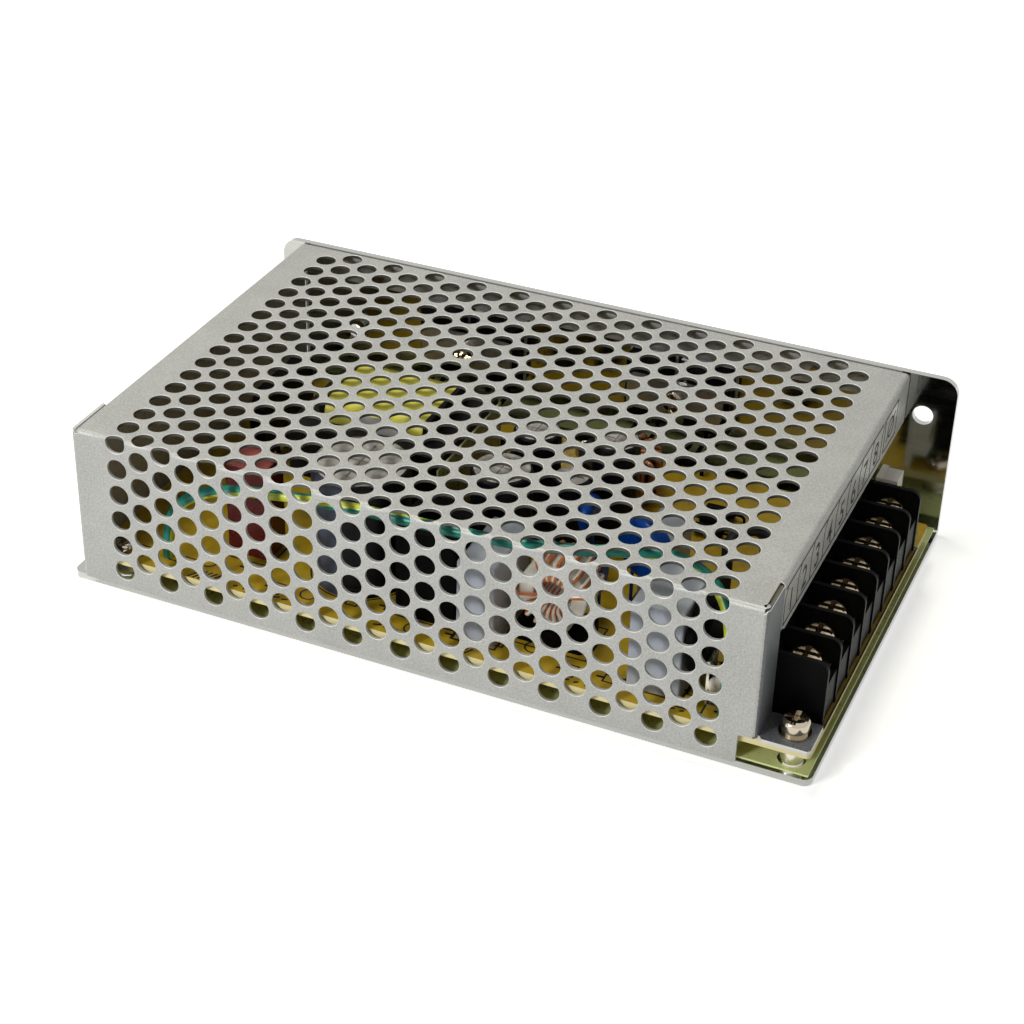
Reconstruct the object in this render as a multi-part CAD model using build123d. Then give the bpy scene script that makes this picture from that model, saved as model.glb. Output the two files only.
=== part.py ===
from build123d import *
import os
from math import radians, sqrt, tan

# Enclosed switching power supply with a perforated cover and an eight-way screw terminal block.
# Millimetres. The origin is the middle of the underside. +X points to the terminal end, -Y to the
# perforated long side, +Y to the mounting wall and +Z up.

# Case
case_length = 159.0
case_width = 97.0
case_height = 38.0
chassis_sheet = 1.5
chassis_bend = 2.0
chassis_setback = 2.4
wall_corner_radius = 3.5
floor_corner_radius = 1.8
collar_height = 1.8
collar_radius = 3.0

# Perforated cover
cover_sheet = 0.8
cover_bend = 1.0
left_overhang = 5.1
right_overhang = 10.2
side_lift = 3.0
far_flange_depth = 7.0
far_flange_inset = 2.0
lip_height = 11.2
lip_bevel = 2.0
corner_flange_width = 9.0
slit_width = 0.3
relief_radius = 0.6
end_flange_width = 11.6
end_flange_drop = 0.3
notch_length = 3.7
notch_lift = 9.4
notch_round = 0.6
foot_inset = 0.3

# Vent holes
hole_pitch = 6.0
hole_diameter = 4.5
hole_columns = 25
holes_per_column = 21
hole_margin_end = 9.4
hole_margin_far = 3.22
bend_allowance = 0.36

# Case fastenings
wall_hole_radius = 2.2
wall_hole_from_end = 6.6
wall_hole_from_top = 9.3
tap_radius = 1.65
floor_tap_spacing_x = 120.0
floor_tap_spacing_y = 72.0
wall_tap_spacing = 120.0
wall_tap_height = 19.0
cover_screw_inset = 20.0
cover_screw_drop = 4.2
screw_radius = 1.45
screw_head_radius = 2.7
screw_head_height = 2.2
screw_end_gap = 1.0
thread_clearance = 0.05
screw_hole_radius = 1.7
countersink_extra = 1.4
flat_washer_radius = 3.1
flat_washer_thickness = 0.5
spring_washer_radius = 2.5
spring_washer_thickness = 0.8
spring_washer_gap = 0.6

# Board and its insulation
board_end_gap = 0.3
device_room = 10.0
board_thickness = 1.6
board_gap = 0.4
standoff_height = 5.8
standoff_radius = 2.2
standoff_inset = 4.2
standoff_near_inset = 3.7
standoff_left_inset = 5.6
film_thickness = 0.4
film_hole_clearance = 0.5
film_wall_gap = 2.5

# Screw terminals
terminal_ways = 8
terminal_pitch = 8.1
barrier_thickness = 1.0
block_depth = 14.0
block_height = 13.9
block_floor = 7.9
block_front_inset = 0.4
block_start = 8.3
front_step = 0.3
barrier_round = 2.0
back_wall = 3.2
back_wall_height = 11.0
screw_from_front = 5.5
well_radius = 2.2
contact_thickness = 0.8
contact_front_inset = 1.4
contact_clearance = 0.25
leg_gap = 0.5
leg_width = 4.0
clamp_length = 7.0
clamp_thickness = 0.9
clamp_clearance = 0.25
clamp_fit = 0.08
terminal_screw_radius = 1.7
terminal_head_radius = 3.0
terminal_head_height = 2.6
terminal_screw_length = 6.4

# Trimmer and lamp
trimmer_at = (142.1, 80.6)
trimmer_width = 5.6
trimmer_base = 1.3
trimmer_depth = 3.2
trimmer_height = 12.6
trimmer_body_lift = 3.6
rotor_radius = 2.1
rotor_depth = 0.9
rotor_fit = 0.06
lamp_at = (144.4, 76.3)
lamp_radius = 1.5
lamp_height = 9.0

# Bulk capacitor and output capacitors
bulk_at = (53.2, 17.3)
bulk_radius = 10.0
bulk_height = 26.0
output_capacitors_at = ((77.8, 30.1), (78.2, 47.2), (94.1, 50.5), (89.0, 39.5))
output_capacitor_radii = (6.25, 5.0, 5.0, 4.0)
output_capacitor_heights = (24.0, 24.0, 24.0, 20.0)
crimp_drop = 2.2
crimp_depth = 0.5
vent_depth = 0.25

# Transformer
transformer_at = (45.6, 47.3)
core_length = 35.0
core_width = 30.0
core_thickness = 12.0
core_yoke = 5.0
core_leg = 4.0
core_gap = 0.1
winding_width = 20.0
winding_height = 21.0
winding_gap = 0.2
bobbin_flange = 1.0
bobbin_foot = 4.0
barrier_at = (67.8, 36.6)
barrier_length = 30.5
barrier_height = 25.3
barrier_film = 0.4

# Line filter parts
line_filter_at = (72.2, 13.8)
line_filter_side = 14.0
line_filter_height = 20.0
line_filter_slot = 3.0
filter_box_1_at = (83.7, 13.3)
filter_box_1_size = (8.0, 17.6, 18.0)
filter_box_2_at = (120.2, 12.8)
filter_box_2_size = (10.6, 16.4, 19.0)
film_capacitor_at = (30.3, 14.8)
film_capacitor_size = (9.2, 8.0, 21.0)
film_capacitor_lift = 1.0
grey_box_at = (110.0, 38.0)
grey_box_size = (7.0, 12.0, 15.0)
choke_at = (97.2, 14.0)
choke_radius = 7.0
choke_bore = 3.9
choke_depth = 7.0
choke_turns = 7
choke_winding_centre = 65.0
choke_wire = 0.55
choke_seat = 3.4
output_choke_at = (88.2, 68.5)
output_choke_radius = 8.4
output_choke_bore = 4.4
output_choke_depth = 8.0
output_turns = 9
output_wire = 0.65
turn_overlap = 0.12

# Disc parts and fuse
varistor_at = (109.4, 27.8)
varistor_turn = -25.0
varistor_radius = 6.5
varistor_thickness = 4.0
varistor_lift = 9.0
safety_discs_at = ((101.2, 23.5), (94.8, 35.3))
safety_radius = 4.0
safety_thickness = 2.6
safety_lifts = (5.0, 11.0)
thermistor_at = (127.8, 10.8)
thermistor_radius = 7.5
thermistor_thickness = 4.0
thermistor_lift = 4.1
lead_radius = 0.35
fuse_at = (133.4, 14.8)
fuse_length = 20.0
fuse_radius = 2.6
fuse_wall = 0.3
fuse_cap_length = 5.6
fuse_height = 5.1
clip_sheet = 0.5
clip_length = 5.0
clip_ear_height = 10.0

# Low parts and power devices
bridge_at = (16.0, 52.0)
bridge_size = (3.6, 22.0, 15.0)
bridge_lift = 4.0
bridge_lead_pitch = 5.0
chip_at = (38.2, 71.0)
chip_size = (20.0, 6.4, 3.4)
optocoupler_at = (66.0, 68.0)
optocoupler_size = (4.8, 6.4, 3.4)
resistors_at = ((56.0, 67.0), (56.0, 71.0), (56.0, 75.0), (112.0, 60.0), (112.0, 64.0), (112.0, 68.0))
resistor_radius = 1.2
resistor_length = 6.4
resistor_lift = 0.3
link_at = (126.0, 40.0)
link_turn = 40.0
link_radius = 1.2
link_span = 8.0
link_height = 17.0
device_spacing = 14.0
device_width = 10.0
device_depth = 4.4
device_height = 15.0
device_pairs_at = (43.2, 93.2)
device_gap = 1.1
device_lead_pitch = 2.54
device_lead_width = 0.8
device_lead_sheet = 0.5
device_lead_inset = 2.0
pad_thickness = 0.3
pad_margin = 0.5
clamp_bar_height = 8.0
clamp_bar_thickness = 1.2
clamp_bar_length = 22.0

# Earth wire, measured from the case's left end, its near face and its underside
earth_wire_radius = 1.15
earth_wire_points = (
    (21.3, 6.2, 8.9), (21.3, 6.2, 16.0), (26.0, 4.8, 24.5), (36.0, 4.0, 30.2), (50.0, 3.8, 32.6),
    (66.0, 4.2, 33.7), (83.0, 4.0, 34.4), (98.0, 4.9, 34.5), (110.0, 7.6, 34.9), (119.5, 12.4, 34.6),
    (129.0, 14.4, 34.6), (136.6, 12.6, 30.6), (140.4, 7.6, 24.6), (141.3, 3.7, 17.2), (141.3, 3.7, 8.9),
)

# Planes and places that follow from the sizes above
left_x = -case_length / 2
right_x = case_length / 2
near_y = -case_width / 2
wall_y = case_width / 2
wall_inner_y = wall_y - chassis_sheet
floor_z = chassis_sheet
cover_left_x = left_x + left_overhang
cover_right_x = right_x - right_overhang
hole_radius = hole_diameter / 2
board_bottom_z = floor_z + standoff_height
board_top_z = board_bottom_z + board_thickness
board_left_x = cover_left_x + cover_sheet + board_gap
board_right_x = right_x - board_end_gap
board_near_y = near_y + cover_sheet + board_gap
board_far_y = wall_inner_y - device_room
foot_screw_x = board_right_x - standoff_inset
foot_screw_y = board_near_y + standoff_near_inset
foot_top_z = board_top_z + cover_sheet
film_z = floor_z + collar_height
block_front_x = board_right_x - block_front_inset
block_back_x = block_front_x - block_depth
block_near_y = board_near_y + block_start
block_far_y = block_near_y + terminal_ways * terminal_pitch + barrier_thickness
screw_x = block_front_x - screw_from_front
contact_z = board_top_z + block_floor
clamp_z = contact_z + contact_thickness
head_z = clamp_z + clamp_thickness
pocket_width = terminal_pitch - barrier_thickness
cover_screw_z = case_height - cover_screw_drop
device_z = case_height - far_flange_depth - device_gap - device_height
device_back_y = wall_inner_y - pad_thickness
device_front_y = device_back_y - device_depth
bar_front_y = device_front_y - clamp_bar_thickness
bar_z = device_z + device_height / 2
tap_screw_radius = screw_radius + thread_clearance


def block(x0, x1, y0, y1, z0, z1):
    """Box between two corners."""
    middle = Pos((x0 + x1) / 2, (y0 + y1) / 2, (z0 + z1) / 2)
    return middle * Box(x1 - x0, y1 - y0, z1 - z0)


def post(x, y, z0, z1, radius):
    """Upright cylinder."""
    return Pos(x, y, (z0 + z1) / 2) * Cylinder(radius, z1 - z0)


def across(x, z, y0, y1, radius):
    """Cylinder along Y."""
    return Pos(x, (y0 + y1) / 2, z) * Rot(90, 0, 0) * Cylinder(radius, y1 - y0)


def folded(points, radius, sheet, plane, width):
    """Sheet of constant thickness folded along a line of points and given a width."""
    with BuildLine() as line:
        FilletPolyline(*points, radius=radius)
    return extrude(plane * trace(line.line, sheet), amount=width)


def tube(points, radius):
    """Round wire along straight runs joined by arcs as large as the runs allow."""
    corners = [Vector(*point) for point in points]
    radii = []
    for before, here, after in zip(corners, corners[1:], corners[2:]):
        run = min((here - before).length, (after - here).length)
        turn = (here - before).get_angle(after - here)
        radii.append(0.45 * run / tan(radians(turn / 2)))
    with BuildLine() as line:
        FilletPolyline(*corners, radius=radii)
    start = Plane(origin=corners[0], z_dir=corners[1] - corners[0])
    return sweep(start * Circle(radius), path=line.line)


def cross_recess(width, slot, depth):
    """Cross of two slots that reaches down from the origin."""
    return Box(width, slot, 2 * depth) + Box(slot, width, 2 * depth)


def pan_head(radius, height):
    """Domed screw head that stands on the origin, with a cross recess that runs out to its rim."""
    head = Pos(0, 0, height / 2) * Cylinder(radius, height)
    head = fillet(head.edges().group_by(Axis.Z)[-1], 0.45 * height)
    wide = cross_recess(1.7 * radius, 0.36 * radius, 0.35 * height)
    deep = cross_recess(radius, 0.36 * radius, 0.62 * height)
    return head - Pos(0, 0, height) * (wide + deep)


def machine_screw(x, y, seat_z, end_z):
    """Upright pan head screw that seats at one height and ends at another."""
    return Pos(x, y, seat_z) * pan_head(screw_head_radius, screw_head_height) + post(x, y, end_z, seat_z, screw_radius)


def on_board(place, turn=0.0):
    """Location on the board's top face."""
    return Pos(board_left_x + place[0], board_near_y + place[1], board_top_z) * Rot(0, 0, turn)


def standoff_places():
    """Centres of the board's fixing points, the first of them under the cover's foot."""
    left = board_left_x + standoff_left_inset
    far = board_far_y - standoff_inset
    middle = (left + foot_screw_x) / 2
    near_pair = [(foot_screw_x, foot_screw_y), (left, foot_screw_y)]
    return near_pair + [(left, far), (middle, far), (foot_screw_x, far)]


def floor_tap_places():
    """Centres of the tapped mounting holes in the floor."""
    x = floor_tap_spacing_x / 2
    y = floor_tap_spacing_y / 2
    return [(-x, -y), (x, -y), (-x, y), (x, y)]


def cover_screw_places():
    """Distances along X of the screws that hold the cover to the wall."""
    return (cover_left_x + cover_screw_inset, cover_right_x - cover_screw_inset)


def terminal_places():
    """Distances along Y of the terminal screws."""
    first = block_near_y + barrier_thickness / 2 + terminal_pitch / 2
    return [first + way * terminal_pitch for way in range(terminal_ways)]


def chassis():
    """Floor and mounting wall, one folded aluminium sheet with drawn collars at its tapped holes."""
    half = chassis_sheet / 2
    path = [(near_y + chassis_setback, half), (wall_y - half, half), (wall_y - half, case_height)]
    body = folded(path, chassis_bend - half, chassis_sheet, Plane.YZ.offset(left_x), case_length)
    wall_corners = body.edges().filter_by(Axis.Y).group_by(Axis.Z)[-1]
    body = fillet(wall_corners, wall_corner_radius)
    floor_corners = body.edges().filter_by(Axis.Z).group_by(Axis.Y)[0]
    body = fillet(floor_corners, floor_corner_radius)
    collar_y = wall_inner_y - collar_height
    for x, y in floor_tap_places():
        body += post(x, y, half, film_z, collar_radius)
        body -= post(x, y, -1, film_z + 1, tap_radius)
    for x in (-wall_tap_spacing / 2, wall_tap_spacing / 2):
        body += across(x, wall_tap_height, collar_y, wall_y - half, collar_radius)
        body -= across(x, wall_tap_height, collar_y - 1, wall_y + 1, tap_radius)
    hole_z = case_height - wall_hole_from_top
    body -= across(right_x - wall_hole_from_end, hole_z, wall_inner_y - 1, wall_y + 1, wall_hole_radius)
    for x in cover_screw_places():
        body -= countersunk(x, thread_clearance)
    for at in device_pairs_at:
        body -= across(board_left_x + at, bar_z, wall_inner_y - 1, wall_y + 1, tap_screw_radius)
    return body


def countersunk(x, clearance=0.0):
    """Countersunk screw through the wall into the cover's far flange, flush outside."""
    radius = screw_radius + clearance
    middle_y = wall_y - chassis_sheet / 2
    cone = Cone(radius, radius + countersink_extra, chassis_sheet)
    head = Pos(x, middle_y, cover_screw_z) * Rot(-90, 0, 0) * cone
    return head + across(x, cover_screw_z, wall_inner_y - cover_sheet - screw_end_gap, middle_y, radius)


def cover_screws():
    """Countersunk screws that hold the cover's far flange to the wall."""
    screws = []
    for x in cover_screw_places():
        recess = Pos(x, wall_y, cover_screw_z) * Rot(-90, 0, 0) * cross_recess(2.6, 0.7, 0.9)
        screws.append(countersunk(x) - recess)
    return screws


def vent_holes():
    """Cutters for the vent holes, one pattern that runs over the top and down the near side."""
    column_step = hole_pitch * sqrt(3) / 2
    far_row = wall_inner_y - hole_margin_far
    holes = []
    for column in range(hole_columns):
        x = cover_left_x + hole_margin_end + column * column_step
        first = (column + 1) % 2
        for step in range(first, first + 2 * holes_per_column, 2):
            y = far_row - step * hole_pitch / 2
            z = case_height + (y - near_y) - bend_allowance
            if y > near_y - hole_radius:
                holes.append(post(x, y, case_height - cover_bend, case_height + 1, hole_radius))
            if z < case_height + hole_radius:
                holes.append(across(x, z, near_y - 1, near_y + cover_bend, hole_radius))
    return holes


def cover_box():
    """Folded box of the cover before anything is cut away."""
    shell = block(cover_left_x, cover_right_x, near_y, wall_inner_y, floor_z, case_height)
    shell = fillet(shell.edges() - shell.edges().group_by(Axis.Z)[0], cover_bend)
    inside_x = (cover_left_x + cover_sheet, cover_right_x - cover_sheet)
    inside_y = (near_y + cover_sheet, wall_inner_y - cover_sheet)
    room = block(*inside_x, *inside_y, floor_z - 1, case_height - cover_sheet)
    room = fillet(room.edges() - room.edges().group_by(Axis.Z)[0], cover_bend - cover_sheet)
    return shell - room


def cover_openings():
    """Cutters for the open wall side, the open terminal end, the slit, the corners and the notch."""
    out_left = cover_left_x - 1
    out_right = cover_right_x + 1
    end_x = cover_right_x - cover_bend
    flange_y = near_y + corner_flange_width
    far_y = wall_inner_y + 1
    inner_far_y = wall_inner_y - cover_sheet
    slit_x = cover_right_x - cover_sheet - slit_width
    top = case_height + 1
    wall_side = block(out_left, out_right, inner_far_y, far_y, 0, case_height - far_flange_depth)
    left_corner = block(out_left, cover_left_x + far_flange_inset, inner_far_y, far_y, 0, top)
    right_corner = block(cover_right_x - far_flange_inset, out_right, inner_far_y, far_y, 0, top)
    terminal_end = block(end_x, out_right, flange_y, far_y, 0, case_height - lip_height)
    lip_gap = block(slit_x, out_right, flange_y, flange_y + slit_width, 0, top)
    slit = block(slit_x, slit_x + slit_width, near_y + cover_bend, flange_y + slit_width, case_height - 2, top)
    relief_y = near_y + cover_bend + relief_radius / 2
    relief = post(slit_x + slit_width / 2, relief_y, case_height - cover_bend, top, relief_radius)
    under_foot = block(end_x, out_right, near_y + cover_bend, flange_y, 0, board_top_z + cover_bend)
    under_side = block(out_left, out_right, near_y - 1, near_y + cover_bend, 0, side_lift)
    notch = block(cover_right_x - notch_length, out_right, near_y - 1, near_y + cover_bend, 0, notch_lift)
    notch = fillet(notch.edges().filter_by(Axis.Y).group_by(Axis.Z)[-1].sort_by(Axis.X)[0], notch_round)
    return [
        wall_side, left_corner, right_corner, terminal_end, lip_gap, slit,
        relief, under_foot, under_side, notch, lip_bevel_cut(),
    ]


def lip_bevel_cut():
    """Cutter for the bevel on the near lower corner of the lip."""
    corner_y = near_y + corner_flange_width + slit_width
    corner_z = case_height - lip_height
    with BuildLine() as line:
        Polyline(
            (corner_y - 1, corner_z - 1), (corner_y + lip_bevel, corner_z - 1), (corner_y + lip_bevel, corner_z),
            (corner_y, corner_z + lip_bevel), (corner_y - 1, corner_z + lip_bevel), close=True,
        )
    face = Plane.YZ.offset(cover_right_x - cover_bend) * make_face(line.line)
    return extrude(face, amount=cover_bend + 1)


def cover_foot():
    """Tab that bends out from the corner flange onto the board."""
    half = cover_sheet / 2
    flange_x = cover_right_x - half
    tab_z = board_top_z + half
    path = [(flange_x, tab_z + 6), (flange_x, tab_z), (board_right_x, tab_z)]
    plane = Plane(origin=(0, near_y + corner_flange_width, 0), x_dir=(1, 0, 0), z_dir=(0, -1, 0))
    foot = folded(path, cover_bend - half, cover_sheet, plane, corner_flange_width - foot_inset)
    return foot - post(foot_screw_x, foot_screw_y, board_top_z - 1, foot_top_z + 1, screw_hole_radius)


def end_flange():
    """Flange of the near side that wraps round the left end."""
    half = cover_sheet / 2
    flange_x = cover_left_x - half
    middle_y = near_y + half
    path = [(cover_left_x + 5, middle_y), (flange_x, middle_y), (flange_x, near_y + end_flange_width)]
    height = case_height - end_flange_drop - side_lift
    return folded(path, cover_bend - half, cover_sheet, Plane.XY.offset(side_lift), height)


def cover():
    """Perforated steel cover: top, near side, end wall, terminal lip and foot, one folded sheet."""
    body = cover_box() - cover_openings() + cover_foot() + end_flange()
    for x in cover_screw_places():
        body -= across(x, cover_screw_z, wall_inner_y - 2, wall_inner_y + 1, tap_screw_radius)
    return body - vent_holes()


def insulating_sheet():
    """Film that lies on the floor's collars under the board, cut out round the standoffs."""
    far_y = wall_inner_y - film_wall_gap
    film = block(board_left_x, board_right_x, board_near_y, far_y, film_z, film_z + film_thickness)
    radius = standoff_radius + film_hole_clearance
    return film - [post(x, y, film_z - 1, film_z + 1, radius) for x, y in standoff_places()]


def circuit_board():
    """Board with its fixing holes."""
    board = block(board_left_x, board_right_x, board_near_y, board_far_y, board_bottom_z, board_top_z)
    board = fillet(board.edges().filter_by(Axis.Z), 1.0)
    return board - [post(x, y, 0, case_height, screw_hole_radius) for x, y in standoff_places()]


def board_standoffs():
    """Tapped posts between the floor and the board."""
    posts = []
    for x, y in standoff_places():
        bore = post(x, y, floor_z - 1, board_bottom_z + 1, tap_screw_radius)
        posts.append(post(x, y, floor_z, board_bottom_z, standoff_radius) - bore)
    return posts


def board_screws():
    """Screws of the board; the first also clamps the cover's foot through two washers."""
    foot_seat_z = foot_top_z + flat_washer_thickness + spring_washer_thickness
    screws = []
    for number, (x, y) in enumerate(standoff_places()):
        seat_z = board_top_z if number else foot_seat_z
        screws.append(machine_screw(x, y, seat_z, floor_z + screw_end_gap))
    return screws


def ring(x, y, z, thickness, radius):
    """Flat washer that lies at one height."""
    hole = post(x, y, z - 1, z + thickness + 1, screw_radius + 2 * thread_clearance)
    return post(x, y, z, z + thickness, radius) - hole


def foot_flat_washer():
    """Flat washer on the cover's foot."""
    return ring(foot_screw_x, foot_screw_y, foot_top_z, flat_washer_thickness, flat_washer_radius)


def foot_spring_washer():
    """Split washer between the flat washer and the screw head."""
    z = foot_top_z + flat_washer_thickness
    washer = ring(foot_screw_x, foot_screw_y, z, spring_washer_thickness, spring_washer_radius)
    end_x = foot_screw_x + spring_washer_radius + 1
    half = spring_washer_gap / 2
    split = block(foot_screw_x, end_x, foot_screw_y - half, foot_screw_y + half, z - 1, z + 2)
    return washer - split


def terminal_block():
    """Moulded barrier block with a pocket, a screw well and a contact slot for each way."""
    top_z = board_top_z + block_height
    body = block(block_back_x, block_front_x, block_near_y, block_far_y, board_top_z, top_z)
    front_top = body.edges().filter_by(Axis.Y).group_by(Axis.Z)[-1].sort_by(Axis.X)[-1]
    body = fillet(front_top, barrier_round)
    pocket_x = block_back_x + back_wall
    wall_z = board_top_z + back_wall_height
    slot_z = contact_z + contact_thickness
    cuts = []
    for y in terminal_places():
        y0 = y - pocket_width / 2
        y1 = y + pocket_width / 2
        cuts.append(block(pocket_x, block_front_x + 1, y0, y1, contact_z, top_z + 1))
        cuts.append(block(block_back_x - 1, pocket_x, y0, y1, wall_z, top_z + 1))
        cuts.append(block(block_front_x - front_step, block_front_x + 1, y0, y1, board_top_z - 1, contact_z))
        slot = contact_clearance / 2
        cuts.append(block(block_back_x - 1, pocket_x, y0 + slot, y1 - slot, contact_z, slot_z))
        cuts.append(post(screw_x, y, board_top_z + 1, contact_z + 1, well_radius))
    return body - cuts


def terminal_contacts():
    """Plated contacts that lie in the pockets and reach down behind the block to the board."""
    half = contact_thickness / 2
    leg_x = block_back_x - leg_gap - half
    front_x = block_front_x - contact_front_inset
    path = [(leg_x, board_top_z), (leg_x, contact_z + half), (front_x, contact_z + half)]
    width = pocket_width - 2 * contact_clearance
    shoulder = (width - leg_width) / 2
    contacts = []
    for y in terminal_places():
        plane = Plane(origin=(0, y + width / 2, 0), x_dir=(1, 0, 0), z_dir=(0, -1, 0))
        contact = folded(path, leg_gap + half, contact_thickness, plane, width)
        for side in (y - width / 2 - 1, y + width / 2 - shoulder):
            contact -= block(leg_x - 1, leg_x + 1, side, side + 1 + shoulder, 0, contact_z - leg_gap)
        thread = post(screw_x, y, contact_z - 1, clamp_z + 1, terminal_screw_radius + thread_clearance)
        contacts.append(contact - thread)
    return contacts


def clamp_plate(y):
    """Plate that rides under a terminal screw's head and presses the wire."""
    half_x = clamp_length / 2
    half_y = pocket_width / 2 - clamp_clearance
    plate = block(screw_x - half_x, screw_x + half_x, y - half_y, y + half_y, clamp_z, head_z)
    plate = fillet(plate.edges().filter_by(Axis.Z), 0.8)
    return plate - post(screw_x, y, clamp_z - 1, head_z + 1, terminal_screw_radius + clamp_fit)


def terminal_screw(y):
    """Terminal screw in its tightened place."""
    head = Pos(screw_x, y, head_z) * pan_head(terminal_head_radius, terminal_head_height)
    return head + post(screw_x, y, head_z - terminal_screw_length, head_z, terminal_screw_radius)


def trimmer_centre_z():
    """Height of the trimmer's turning axis."""
    return board_top_z + (trimmer_body_lift + trimmer_height) / 2


def trimmer_front_x():
    """Face of the trimmer's body that its rotor is set into."""
    return board_left_x + trimmer_at[0] + trimmer_base / 2 + trimmer_depth


def trimmer_body():
    """Upright trimmer: a plate that stands on the board and a body on its front."""
    back_x = board_left_x + trimmer_at[0] - trimmer_base / 2
    front_x = trimmer_front_x()
    y = board_near_y + trimmer_at[1]
    half = trimmer_width / 2
    top_z = board_top_z + trimmer_height
    plate = block(back_x, back_x + trimmer_base, y - half, y + half, board_top_z, top_z)
    body = block(back_x, front_x, y - half + 0.3, y + half - 0.3, board_top_z + trimmer_body_lift, top_z - 0.3)
    seat = Pos(front_x, y, trimmer_centre_z()) * Rot(0, 90, 0)
    return plate + body - seat * Cylinder(rotor_radius + rotor_fit, 2 * rotor_depth)


def trimmer_rotor():
    """Rotor with its cross slot, set into the trimmer's front."""
    y = board_near_y + trimmer_at[1]
    seat = Pos(trimmer_front_x(), y, trimmer_centre_z()) * Rot(0, 90, 0)
    disc = Pos(0, 0, -rotor_depth / 2) * Cylinder(rotor_radius, rotor_depth)
    return seat * (disc - cross_recess(2.6, 0.7, 0.5))


def indicator_lamp():
    """Round lamp with a domed top and a collar at its foot."""
    body = Pos(0, 0, lamp_height / 2) * Cylinder(lamp_radius, lamp_height)
    body = fillet(body.edges().group_by(Axis.Z)[-1], 0.9 * lamp_radius)
    return on_board(lamp_at) * (body + Pos(0, 0, 0.5) * Cylinder(lamp_radius + 0.3, 1.0))


def can(radius, height):
    """Electrolytic capacitor that stands on the origin, with its crimp groove and vent cross."""
    body = Pos(0, 0, height / 2) * Cylinder(radius, height)
    body = fillet(body.edges().group_by(Axis.Z)[-1], 0.8)
    body -= Pos(0, 0, crimp_drop) * Torus(radius + 0.2, crimp_depth)
    cross = cross_recess(1.3 * radius, 0.3, vent_depth)
    return body - Pos(0, 0, height) * cross


def bulk_capacitor():
    """Tall smoothing capacitor."""
    return on_board(bulk_at) * can(bulk_radius, bulk_height)


def output_capacitors():
    """Capacitors of the output side."""
    sizes = zip(output_capacitors_at, output_capacitor_radii, output_capacitor_heights)
    return [on_board(place) * can(radius, height) for place, radius, height in sizes]


def transformer_middle():
    """Centre of the transformer's core, half a winding above its feet."""
    return on_board(transformer_at) * Pos(0, 0, bobbin_foot + winding_height / 2)


def transformer_core():
    """Ferrite core: a frame of two yokes and two legs round a middle leg."""
    core = Box(core_length, core_width, core_thickness)
    window_length = core_length - 2 * core_yoke
    window = (core_width - 3 * core_leg) / 2
    for side in (-1, 1):
        core -= Pos(0, side * (core_leg + window) / 2, 0) * Box(window_length, window, core_thickness + 1)
    core = fillet(core.edges().filter_by(Axis.Z).group_by(Axis.X)[0], 1.0)
    core = fillet(core.edges().filter_by(Axis.Z).group_by(Axis.X)[-1], 1.0)
    return transformer_middle() * core


def transformer_bobbin():
    """Winding former: a sleeve with an end flange and a foot beside each yoke."""
    length = core_length - 2 * core_yoke - 2 * core_gap
    sleeve_width = core_leg + 2.4
    sleeve = Box(length, sleeve_width, core_thickness + 2.4)
    flange_x = (length - bobbin_flange) / 2
    for side in (-1, 1):
        flange = Box(bobbin_flange, winding_width, winding_height)
        foot = Box(bobbin_flange + 2, winding_width, bobbin_foot)
        sleeve += Pos(side * flange_x, 0, 0) * flange
        sleeve += Pos(side * (flange_x - 1), 0, -(winding_height + bobbin_foot) / 2) * foot
    slot = Box(length + 1, core_leg + 2 * core_gap, core_thickness + 2 * core_gap)
    return transformer_middle() * (sleeve - slot)


def transformer_winding():
    """Taped winding between the bobbin's flanges."""
    length = core_length - 2 * core_yoke - 2 * core_gap - 2 * bobbin_flange - 2 * winding_gap
    width = core_width - 2 * core_leg - 2 * winding_gap
    winding = Box(length, min(width, winding_width), winding_height - 2 * winding_gap)
    winding = fillet(winding.edges().filter_by(Axis.X), 3.0)
    hole = Box(length + 1, core_leg + 2.4 + 2 * winding_gap, core_thickness + 2.4 + 2 * winding_gap)
    return transformer_middle() * (winding - hole)


def barrier_sheet():
    """Upright insulating film between the mains side and the output side."""
    half = barrier_length / 2
    return on_board(barrier_at) * block(-barrier_film / 2, barrier_film / 2, -half, half, 0, barrier_height)


def line_filter():
    """Line filter coil in its moulded case, with a slot for the core."""
    side = line_filter_side
    body = Pos(0, 0, line_filter_height / 2) * Box(side, side, line_filter_height)
    body = fillet(body.edges().filter_by(Axis.Z), 1.5)
    slot = Pos(0, 0, line_filter_height) * Box(side + 1, line_filter_slot, 2 * line_filter_slot)
    return on_board(line_filter_at) * (body - slot)


def boxed(place, size, lift=0.0):
    """Moulded box part with rounded edges, on two pins where it stands off the board."""
    length, width, height = size
    body = Pos(0, 0, lift + height / 2) * Box(length, width, height)
    body = fillet(body.edges() - body.edges().group_by(Axis.Z)[0], 0.6)
    if lift:
        for side in (-1, 1):
            body += post(side * length / 3, 0, 0, lift + 1, lead_radius)
    return on_board(place) * body


def wound_coil(middle, radius, bore, depth, wire, turns, centre):
    """Turns of round wire about one side of a ring core, fused where they touch in its bore."""
    step = 360 * (2 * wire - turn_overlap) / (2 * 3.14159265 * (bore - wire))
    inner = bore - wire
    outer = radius + wire
    half = depth / 2 + wire
    with BuildLine(Plane.XZ) as line:
        FilletPolyline((inner, -half), (outer, -half), (outer, half), (inner, half), radius=0.8, close=True)
    start = Plane(origin=((inner + outer) / 2, 0, -half), z_dir=(1, 0, 0))
    turn = sweep(start * Circle(wire), path=line.line)
    first = centre - step * (turns - 1) / 2
    coil = Rot(0, 0, first) * turn
    coil += [Rot(0, 0, first + number * step) * turn for number in range(1, turns)]
    return middle * coil


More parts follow.
